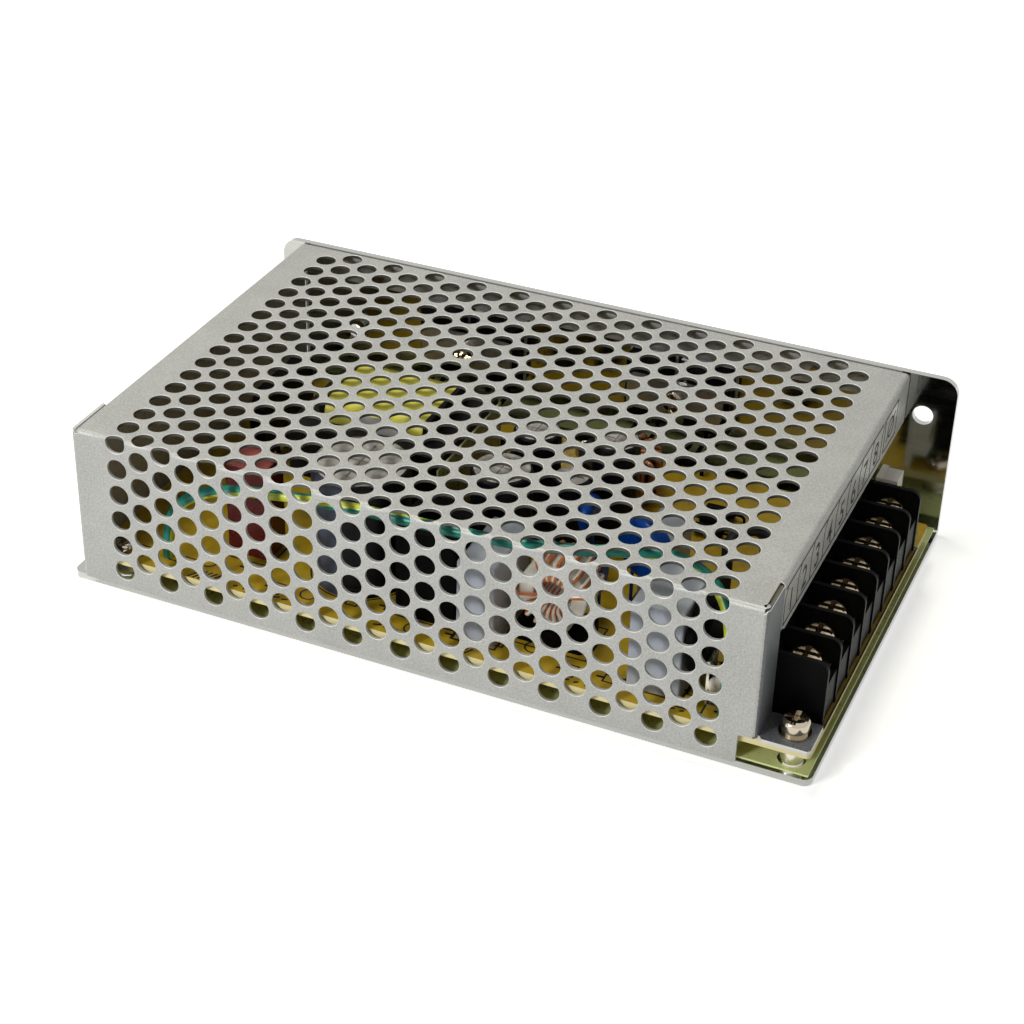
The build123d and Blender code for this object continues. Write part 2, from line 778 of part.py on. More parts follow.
def ring_core(middle, radius, bore, depth):
    """Ring core."""
    core = Cylinder(radius, depth) - Cylinder(bore, depth + 1)
    return middle * fillet(core.edges().filter_by(GeomType.CIRCLE), 0.4)


def choke_middle():
    """Centre of the upright filter choke, its axis along Y."""
    return on_board(choke_at) * Pos(0, 0, choke_seat + choke_radius + 2 * choke_wire) * Rot(90, 0, 0)


def choke_core():
    """Upright ring core of the filter choke."""
    return ring_core(choke_middle(), choke_radius, choke_bore, choke_depth)


def choke_winding(centre):
    """One of the filter choke's two windings."""
    size = (choke_radius, choke_bore, choke_depth, choke_wire)
    return wound_coil(choke_middle(), *size, choke_turns, centre)


def choke_base():
    """Plastic seat of the filter choke."""
    width = choke_depth + 4 * choke_wire
    seat = Pos(0, 0, choke_seat / 2) * Box(2 * choke_radius, width, choke_seat)
    return on_board(choke_at) * fillet(seat.edges().filter_by(Axis.Z), 1.0)


def output_choke_middle():
    """Centre of the output choke, which lies flat."""
    return on_board(output_choke_at) * Pos(0, 0, output_choke_depth / 2 + 2 * output_wire)


def output_choke_core():
    """Flat ring core of the output choke."""
    return ring_core(output_choke_middle(), output_choke_radius, output_choke_bore, output_choke_depth)


def output_choke_winding():
    """Winding of the output choke."""
    size = (output_choke_radius, output_choke_bore, output_choke_depth, output_wire)
    return wound_coil(output_choke_middle(), *size, output_turns, 0)


def disc(place, turn, radius, thickness, lift):
    """Coated disc part that stands on two wire leads, its faces along X before it is turned."""
    centre_z = lift + radius
    body = Pos(0, 0, centre_z) * Rot(90, 0, 0) * Cylinder(radius, thickness)
    body = fillet(body.edges().filter_by(GeomType.CIRCLE), 0.4 * thickness)
    for side in (-0.5, 0.5):
        body += post(side * radius, 0, 0, centre_z - 0.5 * radius, lead_radius)
    return on_board(place, turn) * body


def safety_capacitors():
    """Small disc capacitors of the mains side."""
    size = (safety_radius, safety_thickness)
    return [disc(place, 90, *size, lift) for place, lift in zip(safety_discs_at, safety_lifts)]


def fuse_middle():
    """Centre of the fuse, its axis along Y."""
    return on_board(fuse_at) * Pos(0, 0, fuse_height) * Rot(90, 0, 0)


def fuse_tube():
    """Glass tube of the fuse."""
    length = fuse_length - 2 * fuse_wall
    radius = fuse_radius - fuse_wall
    return fuse_middle() * (Cylinder(radius, length) - Cylinder(radius - 0.5, length + 1))


def fuse_caps():
    """Metal caps over the ends of the fuse's tube."""
    caps = []
    for side in (-1, 1):
        middle = side * (fuse_length - fuse_cap_length) / 2
        room = Pos(0, 0, middle - side * fuse_wall) * Cylinder(fuse_radius - fuse_wall, fuse_cap_length)
        caps.append(fuse_middle() * (Pos(0, 0, middle) * Cylinder(fuse_radius, fuse_cap_length) - room))
    return caps


def fuse_clips():
    """Spring clips that hold the fuse's caps."""
    half = clip_sheet / 2
    ear_x = fuse_radius + half
    top_z = board_top_z + clip_ear_height
    centre_x = board_left_x + fuse_at[0]
    left, right = centre_x - ear_x, centre_x + ear_x
    low = board_top_z + half
    path = [(left, top_z), (left, low), (right, low), (right, top_z)]
    clips = []
    for side in (-1, 1):
        y = board_near_y + fuse_at[1] + side * (fuse_length - fuse_cap_length) / 2
        plane = Plane(origin=(0, y + clip_length / 2, 0), x_dir=(1, 0, 0), z_dir=(0, -1, 0))
        clips.append(folded(path, 0.6, clip_sheet, plane, clip_length))
    return clips


def bridge_rectifier():
    """Bridge rectifier on its four flat leads, with a bevelled corner."""
    depth, width, height = bridge_size
    body = block(-depth / 2, depth / 2, -width / 2, width / 2, bridge_lift, bridge_lift + height)
    corner = body.edges().filter_by(Axis.X).group_by(Axis.Z)[-1].sort_by(Axis.Y)[0]
    body = chamfer(corner, 3.0)
    for number in range(4):
        y = (number - 1.5) * bridge_lead_pitch
        body += block(-0.3, 0.3, y - 0.5, y + 0.5, 0, bridge_lift + 1)
    return on_board(bridge_at) * body


def chip(place, size, turn=0.0):
    """Flat chip in two rows of legs."""
    length, width, height = size
    leg_top = 0.6 * height
    body = Pos(0, 0, 0.5 + height / 2) * Box(length, width, height)
    body = chamfer(body.edges().group_by(Axis.Z)[-1], 0.3)
    count = int(length / 2.54)
    for number in range(count):
        x = (number - (count - 1) / 2) * 2.54
        for side in (-1, 1):
            leg_y = side * (width / 2 + 0.4)
            body += Pos(x, leg_y, leg_top / 2) * Box(0.6, 0.3, leg_top)
            body += Pos(x, side * (width / 2 + 0.2), leg_top) * Box(0.6, 0.7, 0.3)
    return on_board(place, turn) * body


def resistors():
    """Axial resistors that lie on the board on bent leads."""
    span = resistor_length + 4.0
    axis_z = resistor_radius + resistor_lift
    bend = 0.9
    path = [(-span / 2, 0, 0), (-span / 2, 0, axis_z), (span / 2, 0, axis_z), (span / 2, 0, 0)]
    with BuildLine() as line:
        FilletPolyline(*path, radius=bend)
    lead = sweep(Plane(origin=path[0], z_dir=(0, 0, 1)) * Circle(0.3), path=line.line)
    barrel = Pos(0, 0, axis_z) * Rot(0, 90, 0) * Cylinder(resistor_radius, resistor_length)
    barrel = fillet(barrel.edges().filter_by(GeomType.CIRCLE), 0.5)
    return [on_board(place) * (lead + barrel) for place in resistors_at]


def sleeved_link():
    """Sleeved wire link that arches from one point of the board to another."""
    half = link_span / 2
    path = [(-half, 0, 0), (-half, 0, link_height), (half, 0, link_height), (half, 0, 0)]
    return on_board(link_at, link_turn) * tube(path, link_radius)


def device_places():
    """Distances along X of the power devices."""
    half = device_spacing / 2
    return [board_left_x + at + side * half for at in device_pairs_at for side in (-1, 1)]


def power_device(x):
    """Power device against the wall, its flat leads bent forward and down to the board."""
    half = device_width / 2
    body = block(x - half, x + half, device_front_y, device_back_y, device_z, device_z + device_height)
    body = chamfer(body.edges().group_by(Axis.Y)[0], 0.6)
    lead_y = (device_front_y + device_back_y) / 2
    board_y = board_far_y - device_lead_inset
    knee_z = (device_z + board_top_z) / 2
    path = [(lead_y, device_z + 1), (lead_y, knee_z), (board_y, knee_z), (board_y, board_top_z)]
    for number in (-1, 0, 1):
        start_x = x + number * device_lead_pitch - device_lead_width / 2
        lead = folded(path, 0.8, device_lead_sheet, Plane.YZ.offset(start_x), device_lead_width)
        body += lead
    return body


def power_devices():
    """Power transistors and rectifiers pressed to the wall."""
    return [power_device(x) for x in device_places()]


def insulator_pads():
    """Pads between the power devices and the wall."""
    half = device_width / 2 + pad_margin
    z0 = device_z - pad_margin
    z1 = device_z + device_height + pad_margin
    return [block(x - half, x + half, device_back_y, wall_inner_y, z0, z1) for x in device_places()]


def clamp_bars():
    """Spring bars that press a pair of devices each."""
    bars = []
    for at in device_pairs_at:
        x = board_left_x + at
        half_x = clamp_bar_length / 2
        half_z = clamp_bar_height / 2
        bar = block(x - half_x, x + half_x, bar_front_y, device_front_y, bar_z - half_z, bar_z + half_z)
        bar = fillet(bar.edges().filter_by(Axis.Y), 1.5)
        bars.append(bar - across(x, bar_z, bar_front_y - 1, device_front_y + 1, screw_hole_radius))
    return bars


def clamp_screws():
    """Screws that pull the spring bars to the wall."""
    screws = []
    for at in device_pairs_at:
        x = board_left_x + at
        head = Pos(x, bar_front_y, bar_z) * Rot(90, 0, 0) * pan_head(screw_head_radius, screw_head_height)
        screws.append(head + across(x, bar_z, bar_front_y, wall_y - thread_clearance, screw_radius))
    return screws


def earth_wire():
    """Earth wire that runs from the board's left end under the cover to its terminal end."""
    points = [(left_x + x, near_y + y, z) for x, y, z in earth_wire_points]
    return tube(points, earth_wire_radius)


def pieces():
    """Every piece by its name."""
    named = {
        "chassis": chassis(),
        "cover": cover(),
        "cover_screws": cover_screws(),
        "insulating_sheet": insulating_sheet(),
        "circuit_board": circuit_board(),
        "board_standoffs": board_standoffs(),
        "board_screws": board_screws(),
        "foot_flat_washer": foot_flat_washer(),
        "foot_spring_washer": foot_spring_washer(),
        "terminal_block": terminal_block(),
        "terminal_contacts": terminal_contacts(),
        "trimmer_body": trimmer_body(),
        "trimmer_rotor": trimmer_rotor(),
        "indicator_lamp": indicator_lamp(),
        "bulk_capacitor": bulk_capacitor(),
        "output_capacitors": output_capacitors(),
        "transformer_core": transformer_core(),
        "transformer_bobbin": transformer_bobbin(),
        "transformer_winding": transformer_winding(),
        "barrier_sheet": barrier_sheet(),
        "line_filter": line_filter(),
        "filter_capacitor_1": boxed(filter_box_1_at, filter_box_1_size),
        "filter_capacitor_2": boxed(filter_box_2_at, filter_box_2_size),
        "film_capacitor": boxed(film_capacitor_at, film_capacitor_size, film_capacitor_lift),
        "output_relay": boxed(grey_box_at, grey_box_size),
        "choke_base": choke_base(),
        "choke_core": choke_core(),
        "choke_windings": [choke_winding(choke_winding_centre + half_turn) for half_turn in (0, 180)],
        "output_choke_core": output_choke_core(),
        "output_choke_winding": output_choke_winding(),
        "varistor": disc(varistor_at, varistor_turn, varistor_radius, varistor_thickness, varistor_lift),
        "safety_capacitors": safety_capacitors(),
        "thermistor": disc(thermistor_at, 90, thermistor_radius, thermistor_thickness, thermistor_lift),
        "fuse_tube": fuse_tube(),
        "fuse_caps": fuse_caps(),
        "fuse_clips": fuse_clips(),
        "bridge_rectifier": bridge_rectifier(),
        "control_parts": [chip(chip_at, chip_size), chip(optocoupler_at, optocoupler_size)] + resistors(),
        "sleeved_link": sleeved_link(),
        "power_devices": power_devices(),
        "insulator_pads": insulator_pads(),
        "clamp_bars": clamp_bars(),
        "clamp_screws": clamp_screws(),
        "earth_wire": earth_wire(),
    }
    for number, y in enumerate(terminal_places(), 1):
        named[f"clamp_plate_{number}"] = clamp_plate(y)
        named[f"terminal_screw_{number}"] = terminal_screw(y)
    return named


os.makedirs("parts", exist_ok=True)
for name, shape in pieces().items():
    if isinstance(shape, list):
        shape = Compound(children=shape)
    export_step(shape, f"parts/{name}.step")
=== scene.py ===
from math import radians

import bmesh
import bpy
import numpy as np
from mathutils import Matrix, Vector
from mathutils.geometry import delaunay_2d_cdt


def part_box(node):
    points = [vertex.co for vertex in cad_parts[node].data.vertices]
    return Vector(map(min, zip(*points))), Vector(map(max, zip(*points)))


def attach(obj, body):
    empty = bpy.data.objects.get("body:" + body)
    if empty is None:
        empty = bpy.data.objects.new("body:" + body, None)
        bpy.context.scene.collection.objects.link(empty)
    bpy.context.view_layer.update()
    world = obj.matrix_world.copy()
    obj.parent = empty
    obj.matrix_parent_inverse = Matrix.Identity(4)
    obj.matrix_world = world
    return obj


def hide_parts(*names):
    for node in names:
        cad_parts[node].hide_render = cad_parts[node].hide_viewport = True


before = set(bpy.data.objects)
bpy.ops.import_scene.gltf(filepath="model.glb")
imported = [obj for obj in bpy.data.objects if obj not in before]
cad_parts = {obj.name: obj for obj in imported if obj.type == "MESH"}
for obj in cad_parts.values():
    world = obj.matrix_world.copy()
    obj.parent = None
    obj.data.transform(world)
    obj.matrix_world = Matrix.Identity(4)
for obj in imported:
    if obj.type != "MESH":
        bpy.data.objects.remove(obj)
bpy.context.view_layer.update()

MM = 0.001

# Case and board, in millimetres, as the solids have them
CASE_HEIGHT = 38.0
CASE_LEFT_X = -79.5
NEAR_Y = -48.5
WALL_INNER_Y = 47.0
BOARD_TOP_Z = 8.9
BOARD_RIGHT_X = 79.2

# Folded cover
COVER_LEFT_X = -74.4
COVER_RIGHT_X = 69.3
SHEET = 0.8
BEND = 1.0
RIM = 0.1
SIDE_LIFT = 3.0
BEND_RUN = 1.64
FLANGE_DEPTH = 7.0
FLANGE_INSET = 1.0
FLANGE_STEP = 0.4
EDGE_SLANT = 0.1
LIP_HEIGHT = 11.2
LIP_START_Y = -39.0
LIP_BEVEL = 2.0
SLIT = 0.3
RELIEF_RADIUS = 0.6
NOTCH_X = 65.6
NOTCH_Z = 9.4
NOTCH_ROUND = 0.6
NOTCH_SLANT = 0.2
END_LIFT = 1.5
END_CORNER = 1.4

# Corners cut off the cover's two upright flanges: height and distance along the blank
WRAP_RUN = 10.6
WRAP_TOP_Z = 37.7
WRAP_CORNER = ((37.0, 0.0), (37.7, 0.6))
CORNER_FLANGE_Y = -39.5
CORNER_FLANGE_TOP_Z = 37.5
CORNER_FLANGE_CORNER = ((36.6, 0.0), (37.4, 0.7))

# Foot of the cover
FOOT_SCREW_X = 75.0
FOOT_SCREW_Y = -43.6
FOOT_HOLE_RADIUS = 1.7
FOOT_INSET = 0.3
FOOT_CHAMFER = 0.5

# Where the cover's bends end, and the length of a bend along its outer face
QUARTER = BEND * np.pi / 2
NEAR_FLAT_Y = NEAR_Y + BEND
TOP_FAR_Y = WALL_INNER_Y - BEND
INNER_FAR_Y = WALL_INNER_Y - SHEET
LEFT_FLAT_X = COVER_LEFT_X + BEND
RIGHT_FLAT_X = COVER_RIGHT_X - BEND
SLIT_X = COVER_RIGHT_X - SHEET - SLIT
FOOT_BEND_Z = BOARD_TOP_Z + BEND
TOP_START = FLANGE_DEPTH - BEND + QUARTER

# Pattern of vent holes, and how finely holes and bends are drawn
HOLE_PITCH = 6.0
HOLE_RADIUS = 2.25
COLUMNS = 25
HOLES_PER_COLUMN = 21
FIRST_COLUMN_X = -65.0
FAR_ROW_Y = 43.78
HOLE_SIDES = 24
BEND_STEPS = 6
RELIEF_STEPS = 14
NOTCH_STEPS = 5
CIRCLE_SIDES = 40
MERGE_DISTANCE = 1e-5

# Marks on the cover's cut edges: their walls, painted light on the side and painted shade in the top, and
# their outer rims, with a painted highlight
CUT_WALL = 0.5
CUT_RIM = 1.0

# Terminals, and the clear label over them
WAYS = 8
FIRST_WAY_Y = -34.45
WAY_PITCH = 8.1
LABEL_LOW_Z = 28.4
LABEL_HIGH_Z = 36.3
LABEL_FIRST_Y = FIRST_WAY_Y - WAY_PITCH / 2
LABEL_LAST_Y = LABEL_FIRST_Y + WAYS * WAY_PITCH
LABEL_BACK = 0.005
LABEL_FRONT = 0.03
LABEL_STROKE = 0.5
LABEL_INK = 0.015
TICK_SLANT = 2.6
TICK_SHIFT = 1.5
FIGURE_RISE = 0.9
FIGURE_FRONT = 0.037
# Heights between which the terminal screws' recess floor gets painted shade
RECESS_FLOOR_Z = 20.4
RECESS_LOW_Z = 19.2

# Capacitor tops and choke
BULK_CENTRE = (-20.0, -30.0)
BULK_TOP_Z = 34.9
OUTPUT_TOP_Z = 32.9
VENT_DEPTH = 0.26
CAN_STRIPE_HALF_ANGLE = 0.5
CHOKE_CENTRE = (24.0, 20.4)
CHOKE_FIRST_TURN = 0.0
CHOKE_TURN_STEP = 16.76

# Print on the board
PRINT_STROKE = 0.35
PRINT_THICKNESS = 0.03
PRINT_LIFT = 0.004
PRINTED_PARTS = 17
PRINTED_PITCH = 7.9
PRINTED_START = 9.0
PRINTED_FROM_EDGE = 2.4
PRINTED_STAGGER = 1.5
BOARD_GAP = 0.4
MARK_STROKE = 0.5
DASH_PITCH = 2.2
HATCH_FROM_EDGE = 0.3
HATCH_LEAN = 0.6

# Parts with a printed outline round them, and its distance from each
OUTLINED_PARTS = (
    ("filter_capacitor_1", 0.5), ("filter_capacitor_2", 0.5), ("line_filter", 0.5), ("film_capacitor", 0.5),
    ("bridge_rectifier", 0.5), ("thermistor", 0.8), ("transformer_bobbin", 0.6), ("output_relay", 0.5),
    ("terminal_block", 0.45), ("choke_base", 1.2),
)

# Rows of dashes at the board's edge: start, number of dashes and distance from the edge
DASH_ROWS = ((-41.0, 6, 1.2), (-12.0, 5, 1.6), (26.0, 5, 1.1), (47.0, 4, 1.4))

# Hatched marks at the board's edge: start, end, distance of the far side from the edge, pitch and stroke
HATCHES = ((-51.0, -44.0, 3.4, 1.1, 0.5), (8.0, 12.0, 2.4, 1.0, 0.45))

# Earth wire, its route measured from the case's near left corner
WIRE_RADIUS = 1.15
WIRE_SIDES = 20
WIRE_LEAN = (0.0, 0.35, 1.0)
WIRE_MAP_LENGTH = 100
STRIPE_TWIST = 1.1
STRIPE_START = 0.612
STRIPE_SHARE = 0.24
WIRE_POINTS = (
    (21.3, 6.2, 8.9), (21.3, 6.2, 16.0), (26.0, 4.8, 24.5), (36.0, 4.0, 30.2), (50.0, 3.8, 32.6),
    (66.0, 4.2, 33.7), (83.0, 4.0, 34.4), (98.0, 4.9, 34.5), (110.0, 7.6, 34.9), (119.5, 12.4, 34.6),
    (129.0, 14.4, 34.6), (136.6, 12.6, 30.6), (140.4, 7.6, 24.6), (141.3, 3.7, 17.2), (141.3, 3.7, 8.9),
)

# Studio, in metres and degrees
CAMERA_PLACE = (0.14772, -0.35348, 0.25517)
CAMERA_TURN = (58.232, -0.537, 24.981)
LAMP_TARGET = (0, 0, 0.02)
WORLD_LIGHT = 0.14
FLOOR_HALF = 3.0
FLOOR_DROP = 0.0002
FLOOR_LIFT = 0.58
FLOOR_NEAR = 0.2
FLOOR_FAR = 0.6

# Swing of the roughness about its middle on grained finishes
GLOSS_SWING = 0.08


# Camera, light and floor

def math_node(tree, operation, first, second=None, third=None):
    """Math node fed by sockets or numbers; gives its output socket."""
    node = tree.nodes.new("ShaderNodeMath")
    node.operation = operation
    for socket, value in zip(node.inputs, (first, second, third)):
        if value is None:
            continue
        if isinstance(value, (int, float)):
            socket.default_value = value
        else:
            tree.links.new(value, socket)
    return node.outputs[0]


def place_camera():
    """Camera at the photograph's viewing angle, its lens shift for the photograph's framing alone."""
    data = bpy.data.cameras.new("camera")
    data.sensor_width = 36.0
    data.lens = 76.217
    data.shift_x = 0.0601
    data.shift_y = -0.0274
    data.clip_start = 0.01
    data.clip_end = 20.0
    camera = bpy.data.objects.new("camera", data)
    camera.location = CAMERA_PLACE
    camera.rotation_euler = [radians(angle) for angle in CAMERA_TURN]
    bpy.context.scene.collection.objects.link(camera)
    bpy.context.scene.camera = camera


def soft_lamp(name, place, size, power, colour=(1, 1, 1)):
    """Square area lamp that faces the object."""
    data = bpy.data.lights.new(name, "AREA")
    data.shape = "SQUARE"
    data.size = size
    data.energy = power
    data.color = colour
    lamp = bpy.data.objects.new(name, data)
    lamp.location = place
    aim = Vector(LAMP_TARGET) - Vector(place)
    lamp.rotation_euler = aim.to_track_quat("-Z", "Y").to_euler()
    bpy.context.scene.collection.objects.link(lamp)


def seen_directly(tree):
    """1 on camera, glossy and transmission rays, 0 on the rays that light the object."""
    rays = tree.nodes.new("ShaderNodeLightPath")
    either = math_node(tree, "MAXIMUM", rays.outputs["Is Camera Ray"], rays.outputs["Is Glossy Ray"])
    return math_node(tree, "MAXIMUM", either, rays.outputs["Is Transmission Ray"])


def light_studio():
    """Soft lamps above and in front, and a world that is white where it is seen and dim as a light."""
    soft_lamp("lamp_above", (-0.20, 0.05, 0.85), size=0.3, power=3.75, colour=(1.0, 0.985, 0.84))
    soft_lamp("lamp_front", (-0.40, -0.80, 0.42), size=0.22, power=5.35)
    world = bpy.data.worlds.new("studio")
    bpy.context.scene.world = world
    world.use_nodes = True
    tree = world.node_tree
    sky = tree.nodes["Background"]
    sky.inputs["Color"].default_value = (1, 1, 1, 1)
    strength = math_node(tree, "MULTIPLY_ADD", seen_directly(tree), 1 - WORLD_LIGHT, WORLD_LIGHT)
    tree.links.new(strength, sky.inputs["Strength"])


def floor_paint():
    """Pale matt paint that is seen as plain white away from the object."""
    paint = bpy.data.materials.new("floor_paint")
    paint.use_nodes = True
    tree = paint.node_tree
    surface = tree.nodes["Principled BSDF"]
    surface.inputs["Base Color"].default_value = (0.9, 0.9, 0.9, 1)
    surface.inputs["Roughness"].default_value = 0.9
    surface.inputs["Specular IOR Level"].default_value = 0.0
    surface.inputs["Emission Color"].default_value = (1, 1, 1, 1)
    middle = tree.nodes.new("ShaderNodeVectorMath")
    middle.operation = "LENGTH"
    tree.links.new(tree.nodes.new("ShaderNodeTexCoord").outputs["Object"], middle.inputs[0])
    away = tree.nodes.new("ShaderNodeMapRange")
    away.inputs["From Min"].default_value = FLOOR_NEAR
    away.inputs["From Max"].default_value = FLOOR_FAR
    away.inputs["To Min"].default_value = FLOOR_LIFT
    away.inputs["To Max"].default_value = 1.0
    tree.links.new(middle.outputs["Value"], away.inputs["Value"])
    lift = math_node(tree, "MULTIPLY", seen_directly(tree), away.outputs["Result"])
    tree.links.new(lift, surface.inputs["Emission Strength"])
    return paint


def lay_floor():
    """Plain pale floor."""
    corners = [
        (-FLOOR_HALF, -FLOOR_HALF, 0), (FLOOR_HALF, -FLOOR_HALF, 0),
        (FLOOR_HALF, FLOOR_HALF, 0), (-FLOOR_HALF, FLOOR_HALF, 0),
    ]
    mesh = bpy.data.meshes.new("floor")
    mesh.from_pydata(corners, [], [(0, 1, 2, 3)])
    floor = bpy.data.objects.new("floor", mesh)
    floor.location = (0, 0, -FLOOR_DROP)
    bpy.context.scene.collection.objects.link(floor)
    mesh.materials.append(floor_paint())


def set_view():
    """Plain colour handling."""
    bpy.context.scene.view_settings.view_transform = "Standard"


# Shared shader groups

def new_group(name, inputs, outputs):
    """Empty node group with named inputs and outputs."""
    group = bpy.data.node_groups.new(name, "ShaderNodeTree")
    for label, kind, value in inputs:
        socket = group.interface.new_socket(label, in_out="INPUT", socket_type=kind)
        if value is not None:
            socket.default_value = value
    for label in outputs:
        group.interface.new_socket(label, in_out="OUTPUT", socket_type="NodeSocketFloat")
    return group, group.nodes.new("NodeGroupInput"), group.nodes.new("NodeGroupOutput")


def pattern_inputs(scale):
    """Inputs that every pattern group has: a place, a scale and an amount."""
    return [
        ("Vector", "NodeSocketVector", None),
        ("Scale", "NodeSocketFloat", scale),
        ("Amount", "NodeSocketFloat", 0.5),
    ]


def speckle_group():
    """Two sizes of grain summed about a half, as on plated sheet and moulded plastic."""
    broad_scale = 0.04
    broad_share = 0.35
    group, source, result = new_group("fine_speckle", pattern_inputs(3000.0), ["Fac", "Height"])
    fine = group.nodes.new("ShaderNodeTexNoise")
    fine.inputs["Detail"].default_value = 2.0
    broad = group.nodes.new("ShaderNodeTexNoise")
    broad.inputs["Detail"].default_value = 3.0
    wide = math_node(group, "MULTIPLY", source.outputs["Scale"], broad_scale)
    group.links.new(source.outputs["Vector"], fine.inputs["Vector"])
    group.links.new(source.outputs["Scale"], fine.inputs["Scale"])
    group.links.new(source.outputs["Vector"], broad.inputs["Vector"])
    group.links.new(wide, broad.inputs["Scale"])
    weighted = math_node(group, "MULTIPLY_ADD", broad.outputs["Fac"], broad_share, -broad_share / 2)
    centred = math_node(group, "SUBTRACT", fine.outputs["Fac"], 0.5)
    summed = math_node(group, "ADD", centred, weighted)
    scaled = math_node(group, "MULTIPLY", summed, source.outputs["Amount"])
    group.links.new(math_node(group, "ADD", scaled, 0.5), result.inputs["Fac"])
    group.links.new(fine.outputs["Fac"], result.inputs["Height"])
    return group


def drawn_group():
    """Long fine lines along X, as on rolled sheet."""
    group, source, result = new_group("drawn_lines", pattern_inputs(400.0), ["Fac"])
    stretch = group.nodes.new("ShaderNodeMapping")
    stretch.inputs["Scale"].default_value = (0.04, 1.0, 1.0)
    noise = group.nodes.new("ShaderNodeTexNoise")
    noise.inputs["Detail"].default_value = 4.0
    group.links.new(source.outputs["Vector"], stretch.inputs["Vector"])
    group.links.new(stretch.outputs[0], noise.inputs["Vector"])
    group.links.new(source.outputs["Scale"], noise.inputs["Scale"])
    centred = math_node(group, "SUBTRACT", noise.outputs["Fac"], 0.5)
    scaled = math_node(group, "MULTIPLY", centred, source.outputs["Amount"])
    group.links.new(math_node(group, "ADD", scaled, 0.5), result.inputs["Fac"])
    return group


SPECKLE = speckle_group()
DRAWN = drawn_group()


# Helpers for the finishes

class Finish:
    """Material under construction: its shader, its coordinates and helpers that wire nodes to it."""

    def __init__(self, name, colour, rough=0.5, metal=0.0):
        self.material = bpy.data.materials.new(name)
        self.material.use_nodes = True
        self.tree = self.material.node_tree
        self.shader = self.tree.nodes["Principled BSDF"]
        self.shader.inputs["Base Color"].default_value = (*colour, 1)
        self.shader.inputs["Roughness"].default_value = rough
        self.shader.inputs["Metallic"].default_value = metal
        self.place = self.tree.nodes.new("ShaderNodeTexCoord").outputs["Object"]

    def group(self, group, **values):
        """Adds a shared group that reads Object coordinates, with its own values."""
        node = self.tree.nodes.new("ShaderNodeGroup")
        node.node_tree = group
        self.tree.links.new(self.place, node.inputs["Vector"])
        for label, value in values.items():
            node.inputs[label].default_value = value
        return node

    def blend(self, factor, first, second):
        """Colour between two colours, each a tuple or a socket."""
        node = self.tree.nodes.new("ShaderNodeMix")
        node.data_type = "RGBA"
        sockets = [socket for socket in node.inputs if socket.type == "RGBA"]
        self.tree.links.new(factor, node.inputs["Factor"])
        for socket, value in zip(sockets, (first, second)):
            if isinstance(value, tuple):
                socket.default_value = (*value[:3], 1)
            else:
                self.tree.links.new(value, socket)
        return [socket for socket in node.outputs if socket.type == "RGBA"][0]

    def paint(self, colour_socket):
        """Feeds the base colour."""
        self.tree.links.new(colour_socket, self.shader.inputs["Base Color"])

    def gloss_from(self, factor, low, high):
        """Roughness between two values by a factor."""
        value = math_node(self.tree, "MULTIPLY_ADD", factor, high - low, low)
        self.tree.links.new(value, self.shader.inputs["Roughness"])

    def bump(self, height, strength, distance):
        """Bump from a height socket."""
        node = self.tree.nodes.new("ShaderNodeBump")
        node.inputs["Strength"].default_value = strength
        node.inputs["Distance"].default_value = distance
        self.tree.links.new(height, node.inputs["Height"])
        self.tree.links.new(node.outputs[0], self.shader.inputs["Normal"])

    def set(self, label, value):
        """Plain value of one of the shader's own sockets."""
        self.shader.inputs[label].default_value = value

    def parts_of(self, socket):
        """X, Y and Z of a vector socket."""
        node = self.tree.nodes.new("ShaderNodeSeparateXYZ")
        self.tree.links.new(socket, node.inputs[0])
        return node.outputs[0], node.outputs[1], node.outputs[2]

    def axes(self):
        """X, Y and Z of the Object coordinates, in metres."""
        return self.parts_of(self.place)

    def face_axes(self):
        """X, Y and Z of the surface normal."""
        return self.parts_of(self.tree.nodes.new("ShaderNodeNewGeometry").outputs["Normal"])


def speckled(name, colour, rough, contrast, scale, metal=0.0, bump=0.15, distance=0.00002, coat=0.0,
             specular=0.5):
    """Finish whose colour, gloss and bump vary with a fine grain."""
    finish = Finish(name, colour, rough, metal)
    grain = finish.group(SPECKLE, Scale=scale, Amount=1.0)
    dark = tuple(part * (1 - contrast) for part in colour)
    light = tuple(min(1.0, part * (1 + contrast)) for part in colour)
    finish.paint(finish.blend(grain.outputs["Fac"], dark, light))
    finish.gloss_from(grain.outputs["Fac"], rough - GLOSS_SWING, rough + GLOSS_SWING)
    finish.bump(grain.outputs["Height"], bump, distance)
    finish.set("Coat Weight", coat)
    finish.set("Specular IOR Level", specular)
    return finish


def grained_gloss(finish, scale, low, high, amount=1.0):
    """Roughness that varies between two values with a fine grain."""
    grain = finish.group(SPECKLE, Scale=scale, Amount=amount)
    finish.gloss_from(grain.outputs["Fac"], low, high)


# Finishes of the case

def painted_shade_area(finish, x, y, z):
    """Mask of painted shade: 1 on the outer face of the corner flange and all over the foot, 0 elsewhere.
    """
    sheet_slack = 0.02
    lip_slack = 0.2
    facing_right = 0.6
    tree = finish.tree
    past = math_node(tree, "GREATER_THAN", x, (COVER_RIGHT_X - SHEET - sheet_slack) * MM)
    before_lip = math_node(tree, "LESS_THAN", y, (LIP_START_Y - lip_slack) * MM)
    turned_away = math_node(tree, "GREATER_THAN", finish.face_axes()[0], facing_right)
    on_foot = math_node(tree, "LESS_THAN", z, FOOT_BEND_Z * MM)
    shaded = math_node(tree, "MAXIMUM", turned_away, on_foot)
    return math_node(tree, "MULTIPLY", math_node(tree, "MULTIPLY", past, before_lip), shaded)


